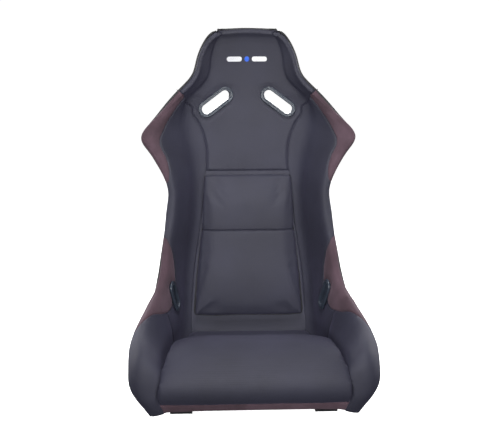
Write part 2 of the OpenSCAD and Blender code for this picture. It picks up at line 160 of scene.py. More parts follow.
def sheet_faces(rows: int, columns: int) -> list[tuple[int, ...]]:
    """Faces of a closed sheet: a top grid, a base grid numbered after it and their border.

    Args:
        rows: Number of rows of each grid.
        columns: Number of points in a row.

    Returns:
        The faces as tuples of point indices.
    """
    half = rows * columns
    border = ([j for j in range(columns - 1)]
              + [i * columns + columns - 1 for i in range(rows - 1)]
              + [(rows - 1) * columns + j for j in range(columns - 1, 0, -1)]
              + [i * columns for i in range(rows - 1, 0, -1)])
    walls = [(b, a, a + half, b + half) for a, b in zip(border, border[1:] + border[:1])]
    return grid_faces(rows, columns) + grid_faces(rows, columns, half, flip=True) + walls


def link_object(name: str, data: bpy.types.ID) -> bpy.types.Object:
    """Puts a mesh, light or camera into the scene as an object."""
    made = bpy.data.objects.new(name, data)
    bpy.context.scene.collection.objects.link(made)
    return made


def shade_smooth(mesh: bpy.types.Mesh) -> None:
    """Shades every face of a mesh smooth."""
    mesh.polygons.foreach_set("use_smooth", np.ones(len(mesh.polygons), bool))


def make_piece(name: str, points: Array, faces: Sequence[Sequence[int]],
               uv: Array | None = None) -> bpy.types.Object:
    """Makes a smooth-shaded mesh object from points in millimetres.

    Args:
        name: The piece's name.
        points: Point coordinates in millimetres.
        faces: Point indices of each face, outwards.
        uv: Cloth coordinates of each point in metres, if the piece has them.

    Returns:
        The linked object.
    """
    mesh = bpy.data.meshes.new(name)
    mesh.from_pydata((np.asarray(points) * MM).tolist(), [], [tuple(f) for f in faces])
    mesh.validate()
    shade_smooth(mesh)
    if uv is not None:
        set_uv(mesh, uv)
    return link_object(name, mesh)


def set_uv(mesh: bpy.types.Mesh, uv: Array) -> None:
    """Writes one UV pair per point to the cloth map of a mesh."""
    layer = mesh.uv_layers.new(name=CLOTH_MAP)
    corners = np.zeros(len(mesh.loops), int)
    mesh.loops.foreach_get("vertex_index", corners)
    layer.uv.foreach_set("vector", uv[corners].astype(np.float32).ravel())


def mirrored(points: Array) -> Array:
    """Points on the other side of the middle plane."""
    return points * np.array([-1.0, 1.0, 1.0])


def flipped(faces: Sequence[Sequence[int]]) -> list[tuple[int, ...]]:
    """The same faces turned over."""
    return [tuple(reversed(f)) for f in faces]


def point_array(mesh: bpy.types.Mesh) -> Array:
    """The points of a mesh in millimetres."""
    flat = np.zeros(len(mesh.vertices) * 3)
    mesh.vertices.foreach_get("co", flat)
    return flat.reshape(-1, 3) / MM


def write_points(mesh: bpy.types.Mesh, points: Array) -> None:
    """Puts points in millimetres back into a mesh."""
    mesh.vertices.foreach_set("co", (points * MM).ravel())
    mesh.update()


def point_normals(mesh: bpy.types.Mesh) -> Array:
    """The point normals of a mesh."""
    flat = np.zeros(len(mesh.vertices) * 3)
    mesh.vertex_normals.foreach_get("vector", flat)
    return flat.reshape(-1, 3)


def soft_noise(points: Array, size: float, seed: float) -> Array:
    """Smooth noise between about -1 and 1 at each point.

    Args:
        points: Points in millimetres.
        size: Size of a patch of the noise in millimetres.
        seed: Offset that picks the pattern.

    Returns:
        One value per point.
    """
    return np.array([noise.noise(Vector(p) / size + Vector((seed, 0, 0))) for p in points])


def finished_with(piece: bpy.types.Object, *modifiers: tuple[str, Mapping[str, Any]]) -> None:
    """Adds modifiers to a piece and applies them all to its mesh.

    Args:
        piece: The piece to change.
        *modifiers: Pairs of modifier type and its settings.
    """
    for kind, settings in modifiers:
        modifier = piece.modifiers.new(kind.lower(), kind)
        for key, value in settings.items():
            setattr(modifier, key, value)
    bake_modifiers(piece)


def bake_modifiers(piece: bpy.types.Object) -> None:
    """Replaces a piece's mesh with its evaluated mesh and drops its modifiers."""
    graph = bpy.context.evaluated_depsgraph_get()
    baked = bpy.data.meshes.new_from_object(piece.evaluated_get(graph))
    piece.modifiers.clear()
    old = piece.data
    piece.data = baked
    baked.name = piece.name
    bpy.data.meshes.remove(old)


# ---------------------------------------------------------------- finishes
class Finish(Enum):
    """The finishes of the seat, each named for the real material."""

    WOVEN = "woven polyester cloth"
    SUEDE = "brushed synthetic suede"
    GEL_COAT = "satin gel coat"
    BEZEL = "moulded ABS"
    EDGE_RUBBER = "extruded EPDM rubber"
    THREAD = "bonded nylon thread"
    WHITE_THREAD = "white embroidery thread"
    BLUE_THREAD = "blue embroidery thread"
    HOOK_TAPE = "nylon hook tape"
    LOOP_CLOTH = "brushed loop cloth"
    PLATED_STEEL = "zinc-plated steel"
    OPEN_FOAM = "open-cell polyurethane foam"
    FLOOR = "matte floor paint"


@dataclass(frozen=True)
class Surface:
    """What every finish shares: colours as sRGB hex and the shader's typical values."""

    base: str
    second: str
    roughness: float
    ior: float = 1.5
    metallic: float = 0.0
    sheen: float = 0.0
    sheen_tint: str = "#FFFFFF"
    coat: float = 0.0
    glow: float = 0.0

    def shader(self, name: str) -> tuple[bpy.types.Material, bpy.types.Node]:
        """Makes the material and its shader with the plain values set.

        Args:
            name: The material's name.

        Returns:
            The material and its principled shader.
        """
        material = bpy.data.materials.new(name)
        material.use_nodes = True
        tree = material.node_tree
        tree.nodes.clear()
        shader = add_node(tree, "ShaderNodeBsdfPrincipled", Base_Color=srgb(self.base),
                          Roughness=self.roughness, IOR=self.ior, Metallic=self.metallic,
                          Sheen_Weight=self.sheen, Sheen_Roughness=0.45,
                          Sheen_Tint=srgb(self.sheen_tint), Coat_Weight=self.coat,
                          Emission_Color=srgb("#FFFFFF"), Emission_Strength=self.glow)
        add_node(tree, "ShaderNodeOutputMaterial", links={"Surface": shader.outputs["BSDF"]})
        return material, shader


def colour_mix(tree: bpy.types.NodeTree, factor: Any, first: Any, second: Any) -> Any:
    """Mixes two colours by a factor socket.

    Args:
        tree: The material's tree.
        factor: Output socket of the factor.
        first: A linear colour or an output socket.
        second: A linear colour or an output socket.

    Returns:
        The colour output socket.
    """
    mix = add_node(tree, "ShaderNodeMix", {"data_type": "RGBA"}, {0: factor})
    for index, colour in ((6, first), (7, second)):
        if isinstance(colour, tuple):
            mix.inputs[index].default_value = colour
        else:
            tree.links.new(colour, mix.inputs[index])
    return mix.outputs[2]


def patches(tree: bpy.types.NodeTree, coordinates: Any, size_mm: float, low: float,
            high: float, detail: float = 3.0) -> Any:
    """Soft patches between 0 and 1.

    Args:
        tree: The material's tree.
        coordinates: Output socket with coordinates in metres.
        size_mm: Size of a patch.
        low: Noise value that becomes 0.
        high: Noise value that becomes 1.
        detail: Octaves of the noise.

    Returns:
        The output socket.
    """
    texture = add_node(tree, "ShaderNodeTexNoise", links={"Vector": coordinates},
                       Scale=1 / (size_mm * MM), Detail=detail)
    spread = add_node(tree, "ShaderNodeMapRange", {"clamp": True},
                      {"Value": texture.outputs["Fac"]}, From_Min=low, From_Max=high)
    return spread.outputs["Result"]


@dataclass(frozen=True)
class WovenCloth(Surface):
    """Plain-woven cloth: crossing threads that catch the light one at a time."""

    thread_mm: float = 2.2

    def build(self, name: str) -> bpy.types.Material:
        """Makes the material; threads are drawn about twice their real width so they show."""
        material, shader = self.shader(name)
        tree = material.node_tree
        cloth = add_node(tree, "ShaderNodeUVMap", {"uv_map": CLOTH_MAP}).outputs["UV"]
        place = add_node(tree, "ShaderNodeTexCoord").outputs["Object"]
        period = self.thread_mm * MM
        bands = [add_node(tree, "ShaderNodeTexWave",
                          {"wave_type": "BANDS", "bands_direction": axis,
                           "wave_profile": "SIN"}, {"Vector": cloth},
                          Scale=math.pi / (10 * period), Distortion=0.6,
                          Detail=1.0).outputs["Fac"] for axis in ("X", "Y")]
        over = add_node(tree, "ShaderNodeTexChecker", links={"Vector": cloth},
                        Scale=1 / period).outputs["Fac"]
        weave = add_node(tree, "ShaderNodeMix", {"data_type": "FLOAT"},
                         {0: over, 2: bands[0], 3: bands[1]}).outputs[0]
        slub = patches(tree, cloth, 5.0, 0.3, 0.7)
        faded = patches(tree, place, 140.0, 0.35, 0.7, 2.0)
        threads = colour_mix(tree, weave, srgb(self.base), srgb(self.second))
        worn = colour_mix(tree, faded, threads, srgb(self.second))
        strength = add_node(tree, "ShaderNodeMath", {"operation": "MULTIPLY"}, {0: slub},
                            _1=0.35).outputs[0]
        tree.links.new(colour_mix(tree, strength, worn, srgb(self.second)),
                       shader.inputs["Base Color"])
        height = add_node(tree, "ShaderNodeMath", {"operation": "MULTIPLY_ADD"},
                          {0: weave, 2: strength}, _1=0.8).outputs[0]
        bump = add_node(tree, "ShaderNodeBump", links={"Height": height}, Strength=0.35,
                        Distance=0.0006)
        tree.links.new(bump.outputs["Normal"], shader.inputs["Normal"])
        return material


@dataclass(frozen=True)
class NappedCloth(Surface):
    """Brushed nap, as on suede or loop cloth: short fibres that lie in soft patches."""

    nap_mm: float = 1.2
    patch_mm: float = 38.0
    worn: str = "#8A7780"

    def build(self, name: str) -> bpy.types.Material:
        """Makes the material: two tones in patches, a worn tone on top and a fibre bump."""
        material, shader = self.shader(name)
        tree = material.node_tree
        place = add_node(tree, "ShaderNodeTexCoord").outputs["Object"]
        lie = patches(tree, place, self.patch_mm, 0.35, 0.66, 4.0)
        rubbed = patches(tree, place, self.patch_mm * 2.6, 0.46, 0.75, 5.0)
        fibres = patches(tree, place, self.nap_mm, 0.3, 0.7, 2.0)
        tone = colour_mix(tree, lie, srgb(self.base), srgb(self.second))
        soft = add_node(tree, "ShaderNodeMath", {"operation": "MULTIPLY"}, {0: rubbed},
                        _1=0.45).outputs[0]
        tone = colour_mix(tree, soft, tone, srgb(self.worn))
        speck = add_node(tree, "ShaderNodeMath", {"operation": "MULTIPLY"}, {0: fibres},
                         _1=0.3).outputs[0]
        tree.links.new(colour_mix(tree, speck, tone, srgb(self.worn)),
                       shader.inputs["Base Color"])
        bump = add_node(tree, "ShaderNodeBump", links={"Height": fibres}, Strength=0.3,
                        Distance=0.0007)
        tree.links.new(bump.outputs["Normal"], shader.inputs["Normal"])
        return material


@dataclass(frozen=True)
class Moulded(Surface):
    """A moulded or coated surface: fine grain in the gloss and a soft waviness."""

    grain_mm: float = 1.0
    grain_depth_mm: float = 0.05
    wave_mm: float = 60.0
    gloss_spread: float = 0.12

    def build(self, name: str) -> bpy.types.Material:
        """Makes the material: two close tones, uneven gloss and a fine grain."""
        material, shader = self.shader(name)
        tree = material.node_tree
        place = add_node(tree, "ShaderNodeTexCoord").outputs["Object"]
        broad = patches(tree, place, self.wave_mm, 0.35, 0.7)
        grain = patches(tree, place, self.grain_mm, 0.3, 0.7)
        tree.links.new(colour_mix(tree, broad, srgb(self.base), srgb(self.second)),
                       shader.inputs["Base Color"])
        gloss = add_node(tree, "ShaderNodeMapRange", links={"Value": broad},
                         To_Min=self.roughness - self.gloss_spread / 2,
                         To_Max=self.roughness + self.gloss_spread / 2)
        tree.links.new(gloss.outputs["Result"], shader.inputs["Roughness"])
        bump = add_node(tree, "ShaderNodeBump", links={"Height": grain}, Strength=0.3,
                        Distance=self.grain_depth_mm * MM)
        tree.links.new(bump.outputs["Normal"], shader.inputs["Normal"])
        return material


class Palette:
    """Builds each finish once and hands it out."""

    RECIPES: dict[Finish, WovenCloth | NappedCloth | Moulded] = {
        Finish.WOVEN: WovenCloth("#1B1B24", "#2A2A39", 0.7, sheen=0.12, sheen_tint="#8C88B4"),
        Finish.SUEDE: NappedCloth("#2F2027", "#3F2D36", 0.93, sheen=0.22,
                                  sheen_tint="#B59AAE", worn="#64505B"),
        Finish.GEL_COAT: Moulded("#1A1A1D", "#232327", 0.34, coat=0.3, grain_mm=2.5,
                                 grain_depth_mm=0.06, wave_mm=90.0),
        Finish.BEZEL: Moulded("#2A303A", "#343B47", 0.36, grain_mm=0.8),
        Finish.EDGE_RUBBER: Moulded("#101012", "#17171A", 0.62, grain_mm=1.4),
        Finish.THREAD: Moulded("#1D1D22", "#2B2B32", 0.6, grain_mm=0.5),
        Finish.WHITE_THREAD: Moulded("#D9DADD", "#EEEEF0", 0.5, sheen=0.2, grain_mm=0.5),
        Finish.BLUE_THREAD: Moulded("#2458C8", "#3A72E2", 0.5, sheen=0.2, grain_mm=0.5),
        Finish.HOOK_TAPE: NappedCloth("#0D0D0F", "#17171A", 0.8, nap_mm=1.6, worn="#2A2A2E"),
        Finish.LOOP_CLOTH: NappedCloth("#151517", "#1E1E22", 0.95, sheen=0.2, worn="#303036"),
        Finish.PLATED_STEEL: Moulded("#A9A59A", "#BDB9AC", 0.34, metallic=1.0, grain_mm=1.0),
        Finish.OPEN_FOAM: NappedCloth("#CDBE8E", "#DCCFA4", 0.95, nap_mm=1.5, worn="#B7A672"),
        Finish.FLOOR: Moulded("#F4F4F4", "#F7F7F7", 0.75, grain_mm=3.0, wave_mm=400.0,
                              glow=1.0),
    }

    def __init__(self) -> None:
        """Starts with nothing built."""
        self._built: dict[Finish, bpy.types.Material] = {}

    def __getitem__(self, finish: Finish) -> bpy.types.Material:
        """The material of a finish, built at its first use."""
        if finish not in self._built:
            name = finish.value.replace(" ", "_").replace("-", "_")
            self._built[finish] = self.RECIPES[finish].build(name)
        return self._built[finish]

    def dress(self, piece: bpy.types.Object, finish: Finish) -> None:
        """Gives a piece one finish all over."""
        piece.data.materials.clear()
        piece.data.materials.append(self[finish])


# ---------------------------------------------------------------- the seat's surface
@dataclass
class SeatSurface:
    """The upholstered face of the seat as five rails crossed by stations.

    The rails run from the front lip over the pan, up the back and over the head: centre
    line, liner edge, inner wall, bolster crest and rim. The net is the one that the CAD
    model is built on.
    """

    middle_y: float = 17.5
    samples: int = 20
    relax: float = 3.5
    net: Array = field(init=False)
    fine: Array = field(init=False)

    PROBE = 0.02

    STATIONS = [
        [[0, -262, 33], [190, -262, 32], [216, -260, 24], [236, -256, 16], [248, -250, 12]],
        [[0, -270, 75], [190, -270, 75], [233, -272, 78], [270, -270, 82], [294, -258, 84]],
        [[0, -248, 116], [190, -248, 117], [228, -254, 146], [267, -252, 170],
         [301, -236, 138]],
        [[0, -150, 112], [190, -150, 112], [226, -152, 150], [264, -160, 205],
         [297, -165, 182]],
        [[0, -30, 85], [182, -30, 87], [206, -38, 150], [233, -52, 240], [263, -62, 232]],
        [[0, 135, 72], [166, 128, 80], [190, 70, 170], [211, 25, 270], [229, 10, 282]],
        [[0, 178, 230], [150, 176, 235], [180, 130, 290], [204, 60, 340], [222, 52, 352]],
        [[0, 200, 390], [130, 198, 395], [163, 150, 410], [192, 92, 430], [215, 88, 433]],
        [[0, 218, 500], [130, 216, 500], [162, 165, 500], [190, 105, 498], [210, 100, 496]],
        [[0, 230, 575], [135, 226, 575], [178, 180, 575], [216, 118, 572], [242, 106, 574]],
        [[0, 242, 645], [143, 236, 645], [193, 195, 640], [241, 128, 636], [275, 114, 636]],
        [[0, 252, 705], [146, 240, 705], [169, 215, 705], [182, 196, 706], [193, 182, 706]],
        [[0, 256, 763], [93, 249, 763], [111, 239, 763], [125, 227, 764], [135, 214, 763]],
        [[0, 255, 820], [84, 249, 822], [99, 240, 822], [111, 231, 822], [119, 224, 822]],
        [[0, 250, 866], [72, 246, 864], [84, 240, 862], [92, 234, 858], [98, 228, 856]],
        [[0, 240, 882], [58, 238, 880], [68, 236, 876], [76, 233, 873], [81, 230, 870]]]

    def __post_init__(self) -> None:
        """Builds the mirrored net and a finely sampled, slightly relaxed copy of it."""
        right = np.array(self.STATIONS, float) + np.array([0.0, self.middle_y, 0.0])
        whole = np.concatenate([mirrored(right[:, :0:-1]), right], axis=1)
        self.net = self._padded(whole)
        s = np.linspace(0, self.last, int(self.last * self.samples) + 1)
        v = np.linspace(-RIM, RIM, int(2 * RIM * self.samples) + 1)
        dense = self._spline(self.net, *np.meshgrid(s, v, indexing="ij"), 1.0)
        self.fine = self._padded(self._relaxed(dense))

    @property
    def last(self) -> int:
        """Number of the top station."""
        return len(self.STATIONS) - 1

    @staticmethod
    def _spline(net: Array, s: Array, v: Array, density: float) -> Array:
        """Catmull-Rom patch of a net with one extra row and column all round."""
        x = np.clip(s * density, 0, net.shape[0] - 3)
        y = np.clip((v + RIM) * density, 0, net.shape[1] - 3)
        i = np.minimum(x.astype(int), net.shape[0] - 4)
        j = np.minimum(y.astype(int), net.shape[1] - 4)

        def weights(t: Array) -> list[Array]:
            """The four weights of a Catmull-Rom span."""
            return [(-t + 2 * t ** 2 - t ** 3) / 2, (2 - 5 * t ** 2 + 3 * t ** 3) / 2,
                    (t + 4 * t ** 2 - 3 * t ** 3) / 2, (-t ** 2 + t ** 3) / 2]
        across = weights(y - j)
        total = np.zeros(s.shape + (3,))
        for a, wa in enumerate(weights(x - i)):
            for b, wb in enumerate(across):
                total += (wa * wb)[..., None] * net[i + a, j + b]
        return total

    def _relaxed(self, dense: Array) -> Array:
        """Takes the creases at stations and rails out of the samples, edges kept."""
        reach = int(self.relax * 3)
        taps = np.exp(-0.5 * (np.arange(-reach, reach + 1) / self.relax) ** 2)
        taps /= taps.sum()
        for axis in (0, 1):
            moved = np.moveaxis(dense, axis, 0)
            head = 2 * moved[:1] - moved[reach:0:-1]
            tail = 2 * moved[-1:] - moved[-2:-reach - 2:-1]
            long = np.concatenate([head, moved, tail], axis=0)
            soft = sum(w * long[k:k + len(moved)] for k, w in enumerate(taps))
            dense = np.moveaxis(soft, 0, axis)
        return dense

    @staticmethod
    def _padded(grid: Array) -> Array:
        """Adds one row and column all round, continued in a straight line."""
        for axis in (0, 1):
            moved = np.moveaxis(grid, axis, 0)
            moved = np.concatenate([2 * moved[:1] - moved[1:2], moved,
                                    2 * moved[-1:] - moved[-2:-1]], axis=0)
            grid = np.moveaxis(moved, 0, axis)
        return grid

    def point(self, s: Array, v: Array) -> Array:
        """Points of the surface.

        Args:
            s: Stations.
            v: Rails, negative on the left.

        Returns:
            Points in millimetres, one per pair.
        """
        s, v = np.broadcast_arrays(np.asarray(s, float), np.asarray(v, float))
        return self._spline(self.fine, s, v, self.samples)

    def frame_at(self, s: Array, v: Array) -> tuple[Array, Array, Array, Array]:
        """Points with the unit directions across, along and towards the occupant."""
        s, v = np.broadcast_arrays(np.asarray(s, float), np.asarray(v, float))
        e = self.PROBE
        along = unit(self.point(np.minimum(s + e, self.last), v)
                     - self.point(np.maximum(s - e, 0), v))
        across = unit(self.point(s, np.minimum(v + e, RIM))
                      - self.point(s, np.maximum(v - e, -RIM)))
        return self.point(s, v), across, along, unit(np.cross(across, along))

    def frame_of(self, s: float, v: float) -> tuple[Array, Array, Array, Array]:
        """One point with its unit directions across, along and towards the occupant."""
        place, across, along, facing = self.frame_at(np.array([s]), np.array([v]))
        return place[0], across[0], along[0], facing[0]

    def rim_rail(self, s: Array, inset: float) -> Array:
        """The rail that lies an inset inside the rim."""
        s = np.asarray(s, float)
        run = np.linalg.norm(self.point(s, RIM) - self.point(s, RIM - 0.5), axis=-1)
        return RIM - 0.5 * inset / run

    def station_at(self, line: Array) -> Array:
        """Distance along the centre line from the lip to each station of a rising list."""
        fine = np.linspace(0, self.last, 600)
        run = np.linalg.norm(np.diff(self.point(fine, 0 * fine), axis=0), axis=1)
        return np.interp(line, fine, np.concatenate([[0], np.cumsum(run)]))


MIDDLE_SEAM = smooth_curve([(0, 1.9), (1, 1.9), (2, 1.2), (2.4, 1), (6, 1), (10.3, 1.0),
                            (10.85, 1.22), (11.05, 1.75), (11.22, 2.8), (11.36, 4)])
SUEDE_SEAM = smooth_curve([(0, 4), (3.1, 4), (3.35, 3.25), (3.7, 2.75), (4.2, 2.45),
                           (4.8, 2.36), (5.3, 2.42), (5.7, 2.62), (6.05, 3.05), (6.35, 4),
                           (8, 4), (8.3, 3.42), (8.6, 3.08), (9, 2.94), (9.35, 2.95),
                           (9.65, 2.83), (10, 2.6), (10.4, 2.5), (11.4, 2.45)])


class Edge(Enum):
    """How a panel ends on one side."""

    SEAM = "turned down into a seam"
    RIM = "rolled over the edge of the shell"


@dataclass
class Panel:
    """A glued upholstery panel: padded face, seams turned down and rims rolled over."""

    surface: SeatSurface
    name: str
    stations: tuple[float, float]
    low: Curve
    high: Curve
    edges: tuple[Edge, Edge, Edge, Edge] = (Edge.SEAM, Edge.SEAM, Edge.SEAM, Edge.SEAM)
    puff: float = 2.0
    pitch: float = 5.5
    wrinkle: float = 0.5
    side: int = 1
    roll_r: float = 7.5
    rim_inset: float = 4.5
    seam_depth: float = 5.0
    seam_width: float = 2.6
    thickness: float = 9.0
    shape: Callable[[Array], Array] | None = None

    TURNS = np.array([0.14, 0.28, 0.42, 0.56, 0.7, 0.85, 1.0])
    NEAR_EDGE = np.array([0.0, 0.6, 1.4, 2.4, 3.8, 5.8])
    ROLL = math.radians(150)
    PUFF_REACH = 26.0
    TUCK_SHARE = 0.55
    PUCKER_DEPTH = 0.35
    PUCKER_REACH = 9.0
    CREASES = ((1.0, 55.0, 3.0), (0.5, 24.0, 9.0))
    SEAM_DROP = 0.9
    BACK_SPREAD = (0.3, 1.2)
    BACK_ROOM = 1.5

    def _steps(self, length: float) -> tuple[Array, Array, Array]:
        """Positions 0 to 1 along a direction with close steps at both ends, and the turns.

        Args:
            length: Length of the direction in millimetres.

        Returns:
            Positions, and the share of the turn at the low and at the high end.
        """
        near = np.minimum(self.NEAR_EDGE / length, 0.3 * self.NEAR_EDGE / self.NEAR_EDGE[-1])
        count = max(int(length / self.pitch), 4)
        inner = np.linspace(near[-1], 1 - near[-1], count)[1:-1]
        middle = np.concatenate([near, inner, 1 - near[::-1]])
        turns = len(self.TURNS)
        position = np.concatenate([np.zeros(turns), middle, np.ones(turns)])
        low = np.concatenate([self.TURNS[::-1], np.zeros(len(middle) + turns)])
        high = np.concatenate([np.zeros(len(middle) + turns), self.TURNS])
        return position, low, high

    def _rimness(self, s: Array, edge: Curve, kind: Edge) -> Array:
        """1 where an edge follows the rim and 0 where it is a seam."""
        if kind is Edge.SEAM:
            return np.zeros_like(s)
        return smooth_step((np.abs(edge(s)) - (RIM - 0.9)) / 0.5)

    def _extent(self) -> tuple[float, float]:
        """Length along the panel's middle and its greatest width, in millimetres."""
        line = np.linspace(*self.stations, 60)
        low, high = self.low(line), self.high(line)
        middle = self.surface.point(line, (low + high) / 2)
        shares = np.linspace(0, 1, 30)[None]
        sheet = self.surface.point(line[:, None], low[:, None] + (high - low)[:, None] * shares)
        return (np.linalg.norm(np.diff(middle, axis=0), axis=1).sum(),
                np.linalg.norm(np.diff(sheet, axis=1), axis=2).sum(axis=1).max())

    def _relief(self, place: Array, distance: Sequence[Array],
                rimness: Sequence[Any]) -> Array:
        """Height of the padded face: its puff, tucked seams, puckers and creases.

        Args:
            place: Points of the face.
            distance: Distances from the low, high, start and end edges.
            rimness: How far each of those edges follows the rim.

        Returns:
            One height in millimetres per point.
        """
        height = self.puff * (1 - np.exp(-np.minimum.reduce(distance) / self.PUFF_REACH))
        waves = np.sin(distance[2] / 3.4 + distance[0] / 3.1)
        for gap, is_rim in zip(distance, rimness):
            tuck = self.seam_depth * self.TUCK_SHARE * np.exp(-(gap / self.seam_width) ** 2)
            pucker = self.PUCKER_DEPTH * np.exp(-gap / self.PUCKER_REACH) * waves
            height = height - (1 - is_rim) * (tuck + pucker)
        flat = place.reshape(-1, 3)
        creases = sum(share * soft_noise(flat, size, seed) for share, size, seed in self.CREASES)
        height = height + self.wrinkle * creases.reshape(height.shape)
        if self.shape is not None:
            height = height + self.shape(flat).reshape(height.shape)
        return height

    def build(self) -> bpy.types.Object:
        """Makes the closed panel with its cloth coordinates.

        Returns:
            The panel's object.
        """
        surface = self.surface
        s0, s1 = self.stations
        length, width = self._extent()
        p, start_turn, end_turn = self._steps(length)
        q, low_turn, high_turn = self._steps(width)
        s = s0 + (s1 - s0) * p
        s_grid = np.repeat(s[:, None], len(q), axis=1)
        rim = surface.rim_rail(s, self.rim_inset)
        lo = np.clip(self.low(s), -rim, rim)
        hi = np.clip(self.high(s), -rim, rim)
        v_grid = lo[:, None] + (hi - lo)[:, None] * q[None]
        place, across, along, facing = surface.frame_at(s_grid, v_grid)
        step_across = np.linalg.norm(np.diff(place, axis=1), axis=2)
        step_along = np.linalg.norm(np.diff(place, axis=0), axis=2)
        run_across = np.pad(np.cumsum(step_across, axis=1), ((0, 0), (1, 0)))
        run_along = np.pad(np.cumsum(step_along, axis=0), ((1, 0), (0, 0)))
        rimness = [self._rimness(s, self.low, self.edges[2])[:, None],
                   self._rimness(s, self.high, self.edges[3])[:, None],
                   float(self.edges[0] is Edge.RIM), float(self.edges[1] is Edge.RIM)]
        distance = [run_across, run_across[:, -1:] - run_across, run_along,
                    run_along[-1:] - run_along]
        height = self._relief(place, distance, rimness)
        front, back = place + height[..., None] * facing, place.copy()
        sink = np.zeros_like(height)
        turns = low_turn[None], high_turn[None], start_turn[:, None], end_turn[:, None]
        for turn, is_rim, way in zip(turns, rimness, (-across, across, -along, along)):
            angle = turn * self.ROLL
            lower = (1 - is_rim) * turn * self.seam_depth * self.SEAM_DROP
            spread = turn * (self.BACK_SPREAD[0] + self.BACK_SPREAD[1] * is_rim)
            front = front + (is_rim * self.roll_r * np.sin(angle))[..., None] * way
            front = front - lower[..., None] * facing
            back = back + spread[..., None] * way
            sink = np.maximum(sink, is_rim * self.roll_r * (1 - np.cos(angle)))
        front = front - sink[..., None] * facing
        back = back - np.maximum(self.thickness, sink + self.BACK_ROOM)[..., None] * facing
        uv = np.stack([run_across - run_across[:, -1:] / 2, run_along], axis=-1) * MM
        return self._closed(front, back, uv)

    def _closed(self, front: Array, back: Array, uv: Array) -> bpy.types.Object:
        """Joins a face and a back layer round their border."""
        faces = sheet_faces(*front.shape[:2])
        points = np.concatenate([front.reshape(-1, 3), back.reshape(-1, 3)])
        if self.side < 0:
            points, faces = mirrored(points), flipped(faces)
        maps = np.concatenate([uv.reshape(-1, 2)] * 2)
        return make_piece(self.name, points, faces, maps)


# ---------------------------------------------------------------- slots and bezels
@dataclass
class SlotPlace:
    """Where a harness slot sits: its centre, its long direction and its normal."""

    centre: Array
    long_way: Array
    facing: Array
    straight: float
    radius: float

    @property
    def short_way(self) -> Array:
        """The direction across the slot."""
        return np.cross(self.facing, self.long_way)

    def mirrored(self) -> "SlotPlace":
        """The same slot on the left."""
        return SlotPlace(mirrored(self.centre), mirrored(self.long_way), mirrored(self.facing),
                         self.straight, self.radius)

    def ring(self, radius: float, count: int = 96) -> Array:
        """Points round a bar outline with round ends, on the slot's plane.

        Args:
            radius: Radius of the round ends.
            count: Number of points.

        Returns:
            The points in millimetres.
        """
        angle = np.linspace(0, 2 * math.pi, count, endpoint=False) + math.pi / count
        shift = np.sign(np.cos(angle)) * self.straight / 2
        out = np.cos(angle)[:, None] * self.long_way + np.sin(angle)[:, None] * self.short_way
        return self.centre + shift[:, None] * self.long_way + radius * out

    def distance(self, points: Array) -> Array:
        """Distance from the slot's centre bar, seen along its normal."""
        offset = points - self.centre
        x = np.abs(offset @ self.long_way)
        y = offset @ self.short_way
        return np.hypot(np.maximum(x - self.straight / 2, 0), y)

    def cutter(self, radius: float, reach: float) -> bpy.types.Object:
        """A bar-shaped plug through the seat, used to cut an opening."""
        ring = self.ring(radius)
        points = np.concatenate([ring - reach * self.facing, ring + reach * self.facing])
        n = len(ring)
        faces = grid_faces(2, n, closed_columns=True)
        faces += [tuple(range(n - 1, -1, -1)), tuple(range(n, 2 * n))]
        return make_piece("cutter", points, faces)


def cut_slots(piece: bpy.types.Object, slots: Sequence[SlotPlace], margin: float,
              reach: float = 60.0) -> None:
    """Cuts slots through a piece.

    Args:
        piece: The piece to cut.
        slots: The slots to cut.
        margin: How much wider than the slot the cut is, in radius.
        reach: Half the length of the cut.
    """
    for slot in slots:
        plug = slot.cutter(slot.radius + margin, reach)
        finished_with(piece, ("BOOLEAN", {"operation": "DIFFERENCE", "object": plug,
                                          "solver": "MANIFOLD"}))
        bpy.data.objects.remove(plug)
    shade_smooth(piece.data)


